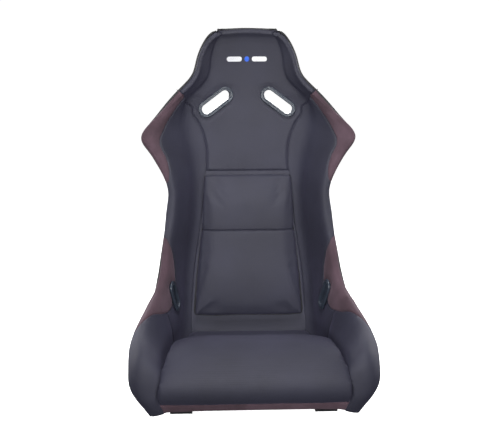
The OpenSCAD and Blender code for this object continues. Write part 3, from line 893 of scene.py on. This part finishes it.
@dataclass
class HarnessSlots:
    """The four belt slots with their clipped two-part bezels."""

    surface: SeatSurface
    palette: Palette
    shoulder_tilt: float = math.radians(36.5)
    shoulder_x: float = 84.0
    flange: float = 9.4
    sleeve: float = 2.2
    depth: float = 17.0
    shoulder_curve: float = 2.0
    lap_curve: float = 3.2

    SHOULDER_STATION = 10.87
    SHOULDER_SIZE = (62.0, 13.0)
    LAP_STATION = 4.98
    LAP_RAIL = 2.42
    LAP_REACH = 0.3
    LAP_SIZE = (56.0, 10.0)
    SIDES = 120

    def _place(self, s: float, v: float, long_way: Array, straight: float,
               radius: float) -> SlotPlace:
        """A slot on the surface with its long direction laid on it."""
        point, _, _, facing = self.surface.frame_of(s, v)
        flat = unit(long_way - (long_way @ facing) * facing)
        return SlotPlace(point, flat, facing, straight, radius)

    @property
    def shoulder(self) -> SlotPlace:
        """The right shoulder slot."""
        rails = np.linspace(0, 1, 200)
        line = self.surface.point(np.full(200, self.SHOULDER_STATION), rails)[:, 0]
        rail = float(np.interp(self.shoulder_x, line, rails))
        down = np.array([math.cos(self.shoulder_tilt), 0.0, -math.sin(self.shoulder_tilt)])
        return self._place(self.SHOULDER_STATION, rail, down, *self.SHOULDER_SIZE)

    @property
    def lap(self) -> SlotPlace:
        """The right lap belt slot."""
        ends = self.surface.point([self.LAP_STATION] * 2,
                                  [self.LAP_RAIL - self.LAP_REACH, self.LAP_RAIL + self.LAP_REACH])
        return self._place(self.LAP_STATION, self.LAP_RAIL, ends[1] - ends[0], *self.LAP_SIZE)

    def _swept(self, name: str, slot: SlotPlace, profile: Sequence[tuple[float, float]],
               side: int) -> bpy.types.Object:
        """Sweeps a closed profile round a slot.

        Args:
            name: The piece's name.
            slot: The slot on the right.
            profile: Distances out from the slot's edge and heights, clockwise.
            side: 1 on the right and -1 on the left.

        Returns:
            The bezel's object.
        """
        points = np.concatenate([slot.ring(slot.radius + out, self.SIDES) + height * slot.facing
                                 for out, height in profile])
        faces = grid_faces(len(profile), self.SIDES, closed_rows=True, closed_columns=True, flip=True)
        if side < 0:
            points, faces = mirrored(points), flipped(faces)
        piece = make_piece(name, points, faces)
        self.palette.dress(piece, Finish.BEZEL)
        return piece

    def front_profile(self, curve: float) -> list[tuple[float, float]]:
        """Section of the front half: sleeve, rounded inner ridge, groove and outer roll."""
        w, tail = self.flange, -(self.depth + curve + 4.0)
        roll = [(w * 0.72 + w * 0.28 * math.sin(a), curve + 0.6 + 3.0 * math.cos(a))
                for a in np.linspace(-0.9, 1.9, 8)]
        ridge = [(1.6 - 1.6 * math.cos(a), curve + 2.6 + 1.5 * math.sin(a))
                 for a in np.linspace(0.0, 2.3, 7)]
        inner, under = self.sleeve, curve - 0.9
        return [(0.0, tail), *ridge, *roll, (w - 0.5, under), (inner + 0.4, under),
                (inner, curve - 1.6), (inner, tail + 0.4), (inner - 0.4, tail)]

    def rear_profile(self, curve: float) -> list[tuple[float, float]]:
        """Section of the rear half: a flat ring with rounded edges."""
        base, w = -(self.depth + curve), self.flange
        inner = self.sleeve + 0.4
        outer = [(w - 1.4 + 1.4 * math.sin(a), base - 2.6 - 1.4 * math.cos(a))
                 for a in np.linspace(math.pi / 2, 0, 5)]
        rise = [(inner + 1.0 - 1.0 * math.sin(a), base - 3.0 - 1.0 * math.cos(a))
                for a in np.linspace(0, math.pi / 2, 4)]
        return [(inner, base), (w, base), *outer, *rise]

    def build(self) -> None:
        """Makes the eight bezel halves."""
        for place, slot, curve, names in (
                ("shoulder", self.shoulder, self.shoulder_curve, ("front", "rear")),
                ("lap", self.lap, self.lap_curve, ("inner", "outer"))):
            profiles = (self.front_profile(curve), self.rear_profile(curve)[::-1])
            for half, profile in zip(names, profiles):
                for side, word in ((1, "right"), (-1, "left")):
                    node = f"{place}_bezel_{half}_{word}"
                    piece = self._swept(node + "_moulding", slot, profile, side)
                    settle(piece, "seat", "bezel_plastic", node)


def settle(piece: bpy.types.Object, body: str, slot: str, *nodes: str) -> None:
    """Reports a finished piece, ties it to its body and hides the parts that it stands for.

    Args:
        piece: The finished piece.
        body: The body that it rides on.
        slot: Name of a material slot; not used.
        *nodes: The nodes that it stands for.
    """
    if nodes:
        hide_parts(*nodes)
    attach(piece, body)
    LOG.info("%s: %d faces on %s", piece.name, len(piece.data.polygons), body)


# ---------------------------------------------------------------- panels of the seat
@dataclass
class Upholstery:
    """The glued fabric and suede panels, with the seams where they meet."""

    surface: SeatSurface
    palette: Palette
    slots: HarnessSlots
    lip_seam: float = 0.5
    pan_end: float = 5.0
    liner_top: float = 8.1667
    thigh_end: float = 4.1667
    torso_top: float = 11.15
    hip: tuple[float, float] = (3.12, 6.3)
    wing: tuple[float, float] = (8.06, 11.33)
    end_inset: float = 4.5
    press_reach: float = 13.0
    shoulder_press: float = 3.4
    lap_press: float = 3.0
    shoulder_room: float = 4.0
    lap_room: float = 3.6

    def _end_stations(self) -> tuple[float, float]:
        """Stations where the face starts to roll over the lip and over the head."""
        line = np.linspace(0, self.surface.last, 1500)
        run = self.surface.station_at(line)
        return (float(np.interp(self.end_inset, run, line)),
                float(np.interp(run[-1] - self.end_inset, run, line)))

    def _pressed(self, places: Sequence[SlotPlace], depth: float) -> Callable[[Array], Array]:
        """How far bezels press the cloth down.

        Args:
            places: The slots.
            depth: How deep their flanges press.

        Returns:
            A function from points to heights.
        """
        def height(points: Array) -> Array:
            """Full depth under the flange, fading out round it."""
            total = np.zeros(len(points))
            for slot in places:
                gap = slot.distance(points) - slot.radius - self.slots.flange + 1.0
                total -= depth * (1 - smooth_step(gap / self.press_reach))
            return total
        return height

    def build(self) -> list[bpy.types.Object]:
        """Makes every panel.

        Returns:
            The panels, for the stitching to lie on.
        """
        start, end = self._end_stations()
        seam, rim = Edge.SEAM, Edge.RIM
        shoulder, lap = self.slots.shoulder, self.slots.lap
        both = self._pressed([shoulder, shoulder.mirrored()], self.shoulder_press)
        one = self._pressed([lap], self.lap_press)

        def inner_suede(s: Array) -> Array:
            """Inner edge of a suede panel, never inside the middle seam."""
            return np.maximum(SUEDE_SEAM(s), MIDDLE_SEAM(s))

        def rim_line(s: Array) -> Array:
            """The rim itself."""
            return np.full_like(np.asarray(s, float), RIM)

        def mirror_of(curve: Curve) -> Curve:
            """The same seam on the left."""
            return lambda s: -curve(s)

        def liner_edge(s: Array) -> Array:
            """The straight edge of the back liner."""
            return np.ones_like(np.asarray(s, float))
        middle = {"upper_back_panel": ((self.liner_top, end), MIDDLE_SEAM, Finish.WOVEN,
                                       (seam, rim, rim, rim), 2.6, 0.6),
                  "back_liner": ((self.pan_end, self.liner_top), liner_edge, Finish.WOVEN,
                                 (seam, seam, seam, seam), 0.2, 0.05),
                  "pan_liner": ((self.lip_seam, self.pan_end), MIDDLE_SEAM, Finish.WOVEN,
                                (seam, seam, seam, seam), 0.2, 0.05),
                  "front_lip_strip": ((start, self.lip_seam), MIDDLE_SEAM, Finish.SUEDE,
                                      (rim, seam, seam, seam), 1.5, 0.3)}
        pairs = {"torso_bolster": ((self.thigh_end, self.torso_top), MIDDLE_SEAM, SUEDE_SEAM,
                                   Finish.WOVEN, (seam, seam, seam, rim), 3.0, 0.7),
                 "thigh_bolster": ((start, self.thigh_end), MIDDLE_SEAM, SUEDE_SEAM,
                                   Finish.WOVEN, (rim, seam, seam, rim), 3.4, 0.8),
                 "shoulder_wing": (self.wing, inner_suede, rim_line, Finish.SUEDE,
                                   (seam, seam, seam, rim), 2.4, 0.8),
                 "hip_panel": (self.hip, inner_suede, rim_line, Finish.SUEDE,
                               (seam, seam, seam, rim), 2.4, 0.8)}
        made = []
        for node, (span, edge, finish, edges, puff, wrinkle) in middle.items():
            touched = node == "upper_back_panel"
            piece = Panel(self.surface, node + "_cloth", span, mirror_of(edge), edge, edges,
                          puff, wrinkle=wrinkle, shape=both if touched else None).build()
            if touched:
                cut_slots(piece, [shoulder, shoulder.mirrored()], self.shoulder_room)
            made.append(self._finish(piece, finish, node))
        for stem, (span, low, high, finish, edges, puff, wrinkle) in pairs.items():
            for side, word in ((1, "right"), (-1, "left")):
                node = f"{stem}_{word}"
                touched = stem in ("torso_bolster", "hip_panel")
                piece = Panel(self.surface, node + "_cloth", span, low, high, edges, puff,
                              wrinkle=wrinkle, side=side, shape=one if touched else None).build()
                if touched:
                    cut_slots(piece, [lap if side > 0 else lap.mirrored()], self.lap_room)
                made.append(self._finish(piece, finish, node))
        return made

    def _finish(self, piece: bpy.types.Object, finish: Finish,
                node: str) -> bpy.types.Object:
        """Dresses a panel and ties it to the seat."""
        self.palette.dress(piece, finish)
        settle(piece, "seat", "suede" if finish is Finish.SUEDE else "woven_fabric", node)
        return piece


# ---------------------------------------------------------------- shell, trim and mounts
@dataclass
class Shell:
    """The moulded shell with its slots, the rubber on its edge and the side mounts."""

    surface: SeatSurface
    palette: Palette
    slots: HarnessSlots
    front: float = -12.0
    back: float = -17.0
    inset: float = 3.0
    trim_r: float = 3.4
    trim_d: float = -16.2
    trim_inset: float = 1.6
    trim_sides: int = 14
    slot_room: float = 2.9
    end_gaps: tuple[float, float] = (0.06, 0.08)
    trim_smoothing: int = 6

    GRID = (260, 101)

    HARDWARE = {"side_mount_left": Finish.GEL_COAT, "side_mount_right": Finish.GEL_COAT,
                "mount_inserts": Finish.PLATED_STEEL, "back_hook_strips": Finish.HOOK_TAPE,
                "seat_hook_strips": Finish.HOOK_TAPE, "thigh_hook_strips": Finish.HOOK_TAPE,
                "back_cushion_backing": Finish.LOOP_CLOTH,
                "seat_pad_backing": Finish.LOOP_CLOTH,
                "thigh_cushion_backing": Finish.LOOP_CLOTH}

    def build(self) -> None:
        """Makes the shell, its trim and the mounts' finishes."""
        s = np.linspace(self.end_gaps[0], self.surface.last - self.end_gaps[1], self.GRID[0])
        w = np.linspace(-1, 1, self.GRID[1])
        v = w[None] * self.surface.rim_rail(s, self.inset)[:, None]
        place, _, _, facing = self.surface.frame_at(np.repeat(s[:, None], len(w), 1), v)
        points = np.concatenate([(place + self.front * facing).reshape(-1, 3),
                                 (place + self.back * facing).reshape(-1, 3)])
        shell = make_piece("shell_moulding", points, sheet_faces(*v.shape))
        for slot in (self.slots.shoulder, self.slots.lap):
            cut_slots(shell, [slot, slot.mirrored()], self.slot_room)
        self.palette.dress(shell, Finish.GEL_COAT)
        settle(shell, "seat", "shell_laminate", "shell")
        self._trim()
        for node, finish in self.HARDWARE.items():
            self.palette.dress(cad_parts[node], finish)

    def _trim(self) -> None:
        """Sweeps the rubber edge round the whole rim."""
        last = self.surface.last
        side = [(s, RIM) for s in np.linspace(0.12, last - 0.12, 300)]
        top = [(last, v) for v in np.linspace(3.85, -3.85, 60)]
        lip = [(0, v) for v in np.linspace(-3.9, 3.9, 110)]
        path = np.array(side + top + [(s, -v) for s, v in side[::-1]] + lip, float)
        place, _, _, facing = self.surface.frame_at(path[:, 0], path[:, 1])
        line = place + self.trim_d * facing
        for _ in range(self.trim_smoothing):
            line = 0.5 * line + 0.25 * (np.roll(line, 1, 0) + np.roll(line, -1, 0))
            facing = unit(0.5 * facing + 0.25 * (np.roll(facing, 1, 0) + np.roll(facing, -1, 0)))
        along = unit(np.roll(line, -1, 0) - np.roll(line, 1, 0))
        out = unit(np.cross(along, facing))
        up = np.cross(out, along)
        line = line - self.trim_inset * out
        angles = np.linspace(0, 2 * math.pi, self.trim_sides, endpoint=False)
        rings = [line + self.trim_r * (math.cos(a) * out + math.sin(a) * up) for a in angles]
        faces = grid_faces(self.trim_sides, len(line), closed_rows=True, closed_columns=True)
        trim = make_piece("rim_trim_rubber", np.concatenate(rings), faces)
        self.palette.dress(trim, Finish.EDGE_RUBBER)
        settle(trim, "seat", "rubber_trim", "rim_trim")


# ---------------------------------------------------------------- loose cushions
@dataclass
class Cushion:
    """A loose cushion: foam in a sewn cover, blown up as cloth and then seamed."""

    surface: SeatSurface
    palette: Palette
    body: str
    nodes: tuple[str, ...]
    table: Sequence[tuple[float, float, float, float]]
    thickness: float
    gap: float = 2.5
    backing: float = 1.5
    shrink: float = 3.0
    swell: float = 6.0
    pressure: float = 4.0
    voxel: float = 5.0
    power: float = 6.0
    seams: tuple[float, ...] = ()
    wrinkle: float = 0.5
    fill: float = 0.8

    SEAM_CUTS = (-5.0, -2.6, -1.3, -0.5, 0.0, 0.5, 1.3, 2.6, 5.0)
    SETTLING_FRAMES = 20
    EDGE_DROP = 0.3
    FORM_GRID = 41
    CREASES = ((1.0, 60.0, 5.0), (0.5, 25.0, 2.0))

    def _column(self, index: int) -> Curve:
        """One column of the table as a smooth curve over the stations."""
        return smooth_curve([(row[0], row[index]) for row in self.table])

    def _rounding(self, q: Array) -> Array:
        """Share of the thickness left towards an edge."""
        return 1 - self.EDGE_DROP * np.abs(q) ** self.power

    def _form(self) -> bpy.types.Object:
        """The cushion's plain closed shape before it is blown up."""
        ends = self.table[0][0], self.table[-1][0]
        run = self.surface.station_at(np.array(ends))
        trim = self.shrink * (ends[1] - ends[0]) / (run[1] - run[0])
        s = np.linspace(ends[0] + trim, ends[1] - trim, self.FORM_GRID)
        w = np.linspace(-1, 1, self.FORM_GRID)
        zero = np.zeros_like(s)
        centre, _, _, facing = self.surface.frame_at(s, zero)
        half = self._column(2)(s) - self.shrink
        edge = self._column(1)(s) * (1 - self.shrink / self._column(2)(s))
        q = np.linspace(-1, 1, len(s))
        tall = (self.thickness * self._column(3)(s) - self.shrink)[:, None] \
            * self._rounding(w)[None] * self._rounding(q)[:, None]
        top = centre[:, None] + (self.gap + tall)[..., None] * facing[:, None]
        top[..., 0] = w[None] * half[:, None]
        base = self.surface.point(np.repeat(s[:, None], len(w), 1), w[None] * edge[:, None])
        base = base + (self.gap + self.backing) * facing[:, None]
        points = np.concatenate([top.reshape(-1, 3), base.reshape(-1, 3)])
        return make_piece(self.body + "_cover_sewn", points, sheet_faces(*top.shape[:2]))

    def _height(self, points: Array) -> tuple[Array, Array]:
        """Height of points over the liner's middle line and their place along it.

        Args:
            points: Points in millimetres.

        Returns:
            Heights and stations.
        """
        line = np.linspace(self.table[0][0] - 0.6, self.table[-1][0] + 0.4, 400)
        centre, _, along, facing = self.surface.frame_at(line, np.zeros_like(line))
        flat = points[:, None, 1:] - centre[None, :, 1:]
        lag = np.abs((flat * along[None, :, 1:]).sum(-1)) + 0.02 * np.linalg.norm(flat, axis=-1)
        best = lag.argmin(axis=1)
        offset = (points - centre[best])[:, 1:]
        return (offset * facing[best][:, 1:]).sum(1), line[best]

    def build(self) -> None:
        """Makes, blows up, seams and dresses the cushion."""
        piece = self._form()
        finished_with(piece, ("REMESH", {"mode": "VOXEL", "voxel_size": self.voxel * MM,
                                         "use_smooth_shade": True}))
        self._blow_up(piece)
        finished_with(piece, ("SMOOTH", {"factor": 0.5, "iterations": 4}),
                      ("SUBSURF", {"levels": 1, "render_levels": 1}))
        for station in self.seams:
            self._sew(piece, station)
        points, normals = point_array(piece.data), point_normals(piece.data)
        height, _ = self._height(points)
        loose = smooth_step((height - self.gap - self.backing) / 8.0)
        crease = sum(share * soft_noise(points, size, seed) for share, size, seed in self.CREASES)
        points += (self.wrinkle * crease * loose)[:, None] * normals
        write_points(piece.data, points)
        self._lay_cloth(piece)
        self.palette.dress(piece, Finish.WOVEN)
        settle(piece, self.body, "woven_fabric", *self.nodes)

    def _blow_up(self, piece: bpy.types.Object) -> None:
        """Runs the cloth simulation, with the base held and the travel capped."""
        before = point_array(piece.data)
        height, _ = self._height(before)
        held = piece.vertex_groups.new(name="held")
        low = height < self.gap + self.backing + 3.0
        held.add([int(i) for i in np.flatnonzero(low)], 1.0, "REPLACE")
        cloth = piece.modifiers.new("cloth", "CLOTH")
        for key, value in (("quality", 5), ("mass", 0.3), ("tension_stiffness", 15.0),
                           ("bending_stiffness", 0.6), ("use_pressure", True),
                           ("uniform_pressure_force", self.pressure),
                           ("vertex_group_mass", "held")):
            setattr(cloth.settings, key, value)
        cloth.settings.effector_weights.gravity = 0.0
        cloth.point_cache.frame_start = 1
        cloth.point_cache.frame_end = self.SETTLING_FRAMES
        scene = bpy.context.scene
        for step in range(1, self.SETTLING_FRAMES + 1):
            scene.frame_set(step)
        bake_modifiers(piece)
        piece.vertex_groups.clear()
        scene.frame_set(1)
        move = point_array(piece.data) - before
        length = np.linalg.norm(move, axis=1, keepdims=True)
        capped = self.swell * np.tanh(length / self.swell)
        write_points(piece.data, before + move * capped / np.maximum(length, 1e-6))
        LOG.info("%s swelled by up to %.1f mm", piece.name, float(length.max()))

    def _sew(self, piece: bpy.types.Object, station: float, depth: float = 3.6,
             width: float = 2.2) -> None:
        """Pulls the cover in along a seam across the cushion.

        Args:
            piece: The cushion.
            station: Where the seam lies along the seat.
            depth: Depth of the seam.
            width: Half width of the pulled-in band.
        """
        centre, _, along, _ = self.surface.frame_of(station, 0.0)
        mesh = bmesh.new()
        mesh.from_mesh(piece.data)
        for offset in self.SEAM_CUTS:
            bmesh.ops.bisect_plane(mesh, geom=mesh.verts[:] + mesh.edges[:] + mesh.faces[:],
                                   dist=1e-6, plane_co=Vector((centre + offset * along) * MM),
                                   plane_no=Vector(along))
        bmesh.ops.triangulate(mesh, faces=[f for f in mesh.faces if len(f.verts) > 4])
        mesh.to_mesh(piece.data)
        mesh.free()
        points, normals = point_array(piece.data), point_normals(piece.data)
        gap = (points - centre) @ along
        height, _ = self._height(points)
        loose = smooth_step((height - self.gap - self.backing) / 6.0)
        pull = depth * np.exp(-(gap / width) ** 2) + 1.3 * np.exp(-(gap / 11.0) ** 2)
        write_points(piece.data, points - (pull * loose)[:, None] * normals)

    def _lay_cloth(self, piece: bpy.types.Object) -> None:
        """Lays the cloth's threads along the cushion's face and down its sides."""
        points = point_array(piece.data)
        height, station = self._height(points)
        run = self.surface.station_at(station)
        half = self._column(2)(station)
        over = np.maximum(np.abs(points[:, 0]) - half + 8.0, 0.0)
        across = points[:, 0] + np.sign(points[:, 0]) * over * 0.4
        set_uv(piece.data, np.stack([across, run + 0.3 * height], axis=1) * MM)


@dataclass
class LooseCushions:
    """The back cushion, the seat pad and the thigh cushion."""

    surface: SeatSurface
    palette: Palette

    BACK = [(5.35, .95, 154, .8), (6, .95, 143, 1), (6.78, .95, 131, .93), (7.4, .93, 126, 1),
            (8.05, .9, 119, .75)]
    SEAT = [(3.8, .95, 184, .85), (4.3, .95, 177, 1.05), (4.86, .95, 166, 1.1)]
    THIGH = [(.6, 1.85, 226, .3), (1, 1.85, 231, .52), (1.5, 1.5, 230, .72), (2, 1.08, 222, .85),
             (2.5, .98, 214, 1), (3, .98, 209, 1.02), (3.62, .98, 205, .8)]

    def build(self) -> None:
        """Makes the three cushions in the order in which they go in."""
        back = Cushion(self.surface, self.palette, "back_cushion",
                       ("back_cushion_cover", "back_cushion_foam_upper",
                        "back_cushion_foam_lower"),
                       self.BACK, 40.0, seams=(6.78,), swell=5.0, pressure=3.0, shrink=2.5)
        seat = Cushion(self.surface, self.palette, "seat_pad",
                       ("seat_pad_cover", "seat_pad_foam"), self.SEAT, 33.0, swell=5.0,
                       pressure=3.0)
        thigh = Cushion(self.surface, self.palette, "thigh_cushion",
                        ("thigh_cushion_cover", "thigh_cushion_foam"), self.THIGH, 62.0,
                        swell=7.0, pressure=4.0, fill=0.9)
        for cushion in (back, seat, thigh):
            cushion.build()


# ---------------------------------------------------------------- stitching
class StitchRow:
    """Geometry nodes that lay single stitches along sewn lines."""

    INPUTS = (("Spacing", "NodeSocketFloat"), ("Length", "NodeSocketFloat"),
              ("Thickness", "NodeSocketFloat"), ("Thread", "NodeSocketMaterial"))

    def __init__(self) -> None:
        """Builds the tree once."""
        tree = bpy.data.node_groups.new("stitch_rows", "GeometryNodeTree")
        tree.interface.new_socket("Lines", in_out="INPUT", socket_type="NodeSocketGeometry")
        for name, kind in self.INPUTS:
            tree.interface.new_socket(name, in_out="INPUT", socket_type=kind)
        tree.interface.new_socket("Stitches", in_out="OUTPUT",
                                  socket_type="NodeSocketGeometry")
        given = add_node(tree, "NodeGroupInput").outputs
        curve = add_node(tree, "GeometryNodeMeshToCurve", links={"Mesh": given["Lines"]})
        spots = add_node(tree, "GeometryNodeCurveToPoints", {"mode": "LENGTH"},
                         {"Curve": curve.outputs["Curve"], "Length": given["Spacing"]})
        turn = add_node(tree, "FunctionNodeAlignRotationToVector", {"axis": "Z"},
                        {"Vector": spots.outputs["Tangent"]})
        size = add_node(tree, "ShaderNodeCombineXYZ", links={
            "X": given["Thickness"], "Y": given["Thickness"], "Z": given["Length"]})
        bead = add_node(tree, "GeometryNodeMeshUVSphere", Segments=6, Rings=4, Radius=0.5)
        laid = add_node(tree, "GeometryNodeInstanceOnPoints", links={
            "Points": spots.outputs["Points"], "Instance": bead.outputs["Mesh"],
            "Rotation": turn.outputs["Rotation"], "Scale": size.outputs["Vector"]})
        real = add_node(tree, "GeometryNodeRealizeInstances",
                        links={"Geometry": laid.outputs["Instances"]})
        dressed = add_node(tree, "GeometryNodeSetMaterial", links={
            "Geometry": real.outputs["Geometry"], "Material": given["Thread"]})
        add_node(tree, "NodeGroupOutput", links={"Stitches": dressed.outputs["Geometry"]})
        self.tree = tree

    def sew(self, name: str, lines: Sequence[Array], spacing: float, length: float,
            thickness: float, thread: bpy.types.Material) -> bpy.types.Object:
        """Lays stitches along lines.

        Args:
            name: The piece's name.
            lines: Rows of points in millimetres.
            spacing: Distance between stitches in millimetres.
            length: Length of a stitch in millimetres.
            thickness: Thickness of the thread in millimetres.
            thread: The thread's material.

        Returns:
            The stitches as one plain mesh.
        """
        edges, start = [], 0
        for line in lines:
            edges += [(start + i, start + i + 1) for i in range(len(line) - 1)]
            start += len(line)
        mesh = bpy.data.meshes.new(name)
        mesh.from_pydata((np.concatenate(lines) * MM).tolist(), edges, [])
        piece = link_object(name, mesh)
        modifier = piece.modifiers.new("stitches", "NODES")
        modifier.node_group = self.tree
        sockets = {item.name: item.identifier for item in self.tree.interface.items_tree
                   if item.in_out == "INPUT"}
        for key, value in (("Spacing", spacing * MM), ("Length", length * MM),
                           ("Thickness", thickness * MM), ("Thread", thread)):
            modifier[sockets[key]] = value
        bake_modifiers(piece)
        shade_smooth(piece.data)
        return piece


@dataclass
class Stitching:
    """The top-stitched rows beside the seams of the glued panels."""

    surface: SeatSurface
    palette: Palette
    rows: StitchRow
    offset: float = 5.0
    stitch: tuple[float, float, float] = (4.2, 3.2, 0.9)

    def build(self, panels: Sequence[bpy.types.Object]) -> None:
        """Sews the rows on the bolster side of each seam.

        Args:
            panels: The panels that the stitches lie on.
        """
        by_name = {p.name: p for p in panels}
        lines = []
        for side, word in ((1, "right"), (-1, "left")):
            torso = by_name[f"torso_bolster_{word}_cloth"]
            thigh = by_name[f"thigh_bolster_{word}_cloth"]
            for panel, low, high, curve, way in (
                    (torso, 4.35, 10.8, MIDDLE_SEAM, 1), (thigh, 0.5, 4.05, MIDDLE_SEAM, 1),
                    (torso, 8.5, 10.9, SUEDE_SEAM, -1), (torso, 4.35, 6.05, SUEDE_SEAM, -1),
                    (thigh, 3.35, 4.05, SUEDE_SEAM, -1)):
                lines.append(self._line(panel, low, high, curve, way, side))
        thread = self.palette[Finish.THREAD]
        piece = self.rows.sew("seam_stitches", lines, *self.stitch, thread)
        settle(piece, "seat", "woven_fabric")

    def _line(self, panel: bpy.types.Object, low: float, high: float, curve: Curve,
              way: int, side: int) -> Array:
        """A row of points beside a seam, laid on a panel.

        Args:
            panel: The panel to lie on.
            low: First station.
            high: Last station.
            curve: The seam.
            way: 1 to lie outside the seam and -1 inside.
            side: 1 on the right and -1 on the left.

        Returns:
            Points in millimetres.
        """
        s = np.linspace(low, high, int((high - low) * 24))
        place, across, _, facing = self.surface.frame_at(s, curve(s))
        line = place + way * self.offset * across + 1.0 * facing
        if side < 0:
            line = mirrored(line)
        laid = []
        for point in line:
            found, spot, normal, _ = panel.closest_point_on_mesh(Vector(point * MM))
            laid.append(np.array(spot) / MM + 0.15 * np.array(normal) if found else point)
        return np.array(laid)


# ---------------------------------------------------------------- mark on the head
@dataclass
class HeadMark:
    """A plain embroidered mark on the head: two white bars with a blue dot between."""

    surface: SeatSurface
    palette: Palette
    rows: StitchRow
    panel: bpy.types.Object
    station: float = 12.85
    bar: tuple[float, float] = (40.0, 12.0)
    dot_r: float = 6.5
    gap: float = 7.0
    stitch: tuple[float, float, float] = (0.75, 1.3, 0.95)
    row_pitch: float = 0.8

    def build(self) -> None:
        """Sews the two bars and the dot."""
        reach = self.dot_r + self.gap
        white = []
        for side in (-1, 1):
            white += self._fill(side * (reach + self.bar[0] / 2), self.bar[0], self.bar[1])
        blue = self._fill(0.0, 2 * self.dot_r, 2 * self.dot_r)
        for name, lines, finish, nodes in (
                ("head_mark_bars", white, Finish.WHITE_THREAD, ("head_patch",)),
                ("head_mark_dot", blue, Finish.BLUE_THREAD, ())):
            piece = self.rows.sew(name, lines, *self.stitch, self.palette[finish])
            settle(piece, "seat", "patch_thread", *nodes)

    def _fill(self, middle: float, width: float, height: float) -> list[Array]:
        """Rows of thread that fill a bar with round ends.

        Args:
            middle: Distance of its middle from the centre line.
            width: Its full width.
            height: Its full height.

        Returns:
            Rows of points on the panel.
        """
        centre, across, along, facing = self.surface.frame_of(self.station, 0.0)
        lines = []
        r = height / 2
        for x in np.arange(-width / 2 + 0.4, width / 2 - 0.3, self.row_pitch):
            end = max(abs(x) - (width / 2 - r), 0.0)
            tall = math.sqrt(max(r * r - end * end, 0.25))
            row = []
            for y in np.linspace(-tall, tall, 12):
                point = centre + (middle + x) * across + y * along
                hit, spot, _, _ = self.panel.ray_cast(Vector((point + 40 * facing) * MM),
                                                      Vector(-facing))
                row.append(np.array(spot) / MM + 0.25 * facing if hit else point)
            lines.append(np.array(row))
        return lines


# ---------------------------------------------------------------- studio
@dataclass
class Studio:
    """A plain pale floor, soft lights and the camera."""

    palette: Palette
    distance: float = 2.5
    azimuth: float = -2.33
    elevation: float = 15.0
    aim_z: float = 0.427
    lens: float = 71.6
    centre_shift: float = -0.0018
    sky: float = 0.04
    backdrop: float = 1.2
    floor_half: float = 60000.0
    lamp_spread: float = math.radians(60)

    LAMPS = (("key", (-0.6, -3.0, 1.3), 1.2, 12.0, (0, 0, 0.6)),
             ("fill", (0.9, -2.9, 1.1), 1.2, 6.0, (0, 0, 0.6)),
             ("top", (0.0, -0.6, 2.9), 0.9, 6.5, (0, 0, 0.3)),
             ("back", (0.0, 2.9, 1.5), 1.8, 22.0, (0, 0, 0.45)),
             ("left", (-2.7, 1.5, 1.1), 1.2, 9.0, (0, 0.1, 0.45)),
             ("right", (2.7, 1.5, 1.1), 1.2, 9.0, (0, 0.1, 0.45)))

    def build(self) -> None:
        """Sets the stage."""
        half = self.floor_half
        floor = make_piece("floor", np.array([[-half, -half, -0.5], [half, -half, -0.5],
                                              [half, half, -0.5], [-half, half, -0.5]]),
                           [(0, 1, 2, 3)])
        self.palette.dress(floor, Finish.FLOOR)
        floor.visible_diffuse = False
        floor.visible_glossy = False
        for name, place, size, power, aim in self.LAMPS:
            self._lamp(name, Vector(place), size, power, Vector(aim))
        world = bpy.data.worlds.new("studio")
        world.use_nodes = True
        world.node_tree.nodes.clear()
        tree = world.node_tree
        seen = add_node(tree, "ShaderNodeLightPath").outputs["Is Camera Ray"]
        sky, paper = (add_node(tree, "ShaderNodeBackground", Color=srgb("#FFFFFF"),
                               Strength=strength) for strength in (self.sky, self.backdrop))
        both = add_node(tree, "ShaderNodeMixShader", links={0: seen, 1: sky.outputs[0],
                                                            2: paper.outputs[0]})
        add_node(tree, "ShaderNodeOutputWorld", links={"Surface": both.outputs[0]})
        bpy.context.scene.world = world
        bpy.context.scene.view_settings.view_transform = "Standard"
        self._camera()

    def _lamp(self, name: str, place: Vector, size: float, power: float, aim: Vector) -> None:
        """Adds one soft square light."""
        light = bpy.data.lights.new(name, "AREA")
        light.shape = "SQUARE"
        light.size = size
        light.energy = power
        light.spread = self.lamp_spread
        lamp = link_object(name, light)
        lamp.location = place
        lamp.rotation_euler = (aim - place).to_track_quat("-Z", "Y").to_euler()

    def _camera(self) -> None:
        """Adds the camera at eye height in front of the seat."""
        az, el = math.radians(self.azimuth), math.radians(self.elevation)
        aim = Vector((0, 0, self.aim_z))
        way = Vector((math.sin(az) * math.cos(el), -math.cos(az) * math.cos(el), math.sin(el)))
        data = bpy.data.cameras.new("camera")
        data.lens = self.lens
        data.sensor_width = 36.0
        data.dof.use_dof = False
        data.shift_x = self.centre_shift
        data.clip_end = 50.0
        camera = link_object("camera", data)
        camera.location = aim + self.distance * way
        camera.rotation_euler = (-way).to_track_quat("-Z", "Y").to_euler()
        bpy.context.scene.camera = camera


def main() -> None:
    """Builds the seat piece by piece and sets the stage."""
    logging.basicConfig(level=logging.INFO, format="%(name)s: %(message)s")
    palette = Palette()
    Studio(palette).build()
    surface = SeatSurface()
    slots = HarnessSlots(surface, palette)
    Shell(surface, palette, slots).build()
    panels = Upholstery(surface, palette, slots).build()
    slots.build()
    LooseCushions(surface, palette).build()
    rows = StitchRow()
    Stitching(surface, palette, rows).build(panels)
    HeadMark(surface, palette, rows, panels[0]).build()


if __name__ == "__main__":
    main()
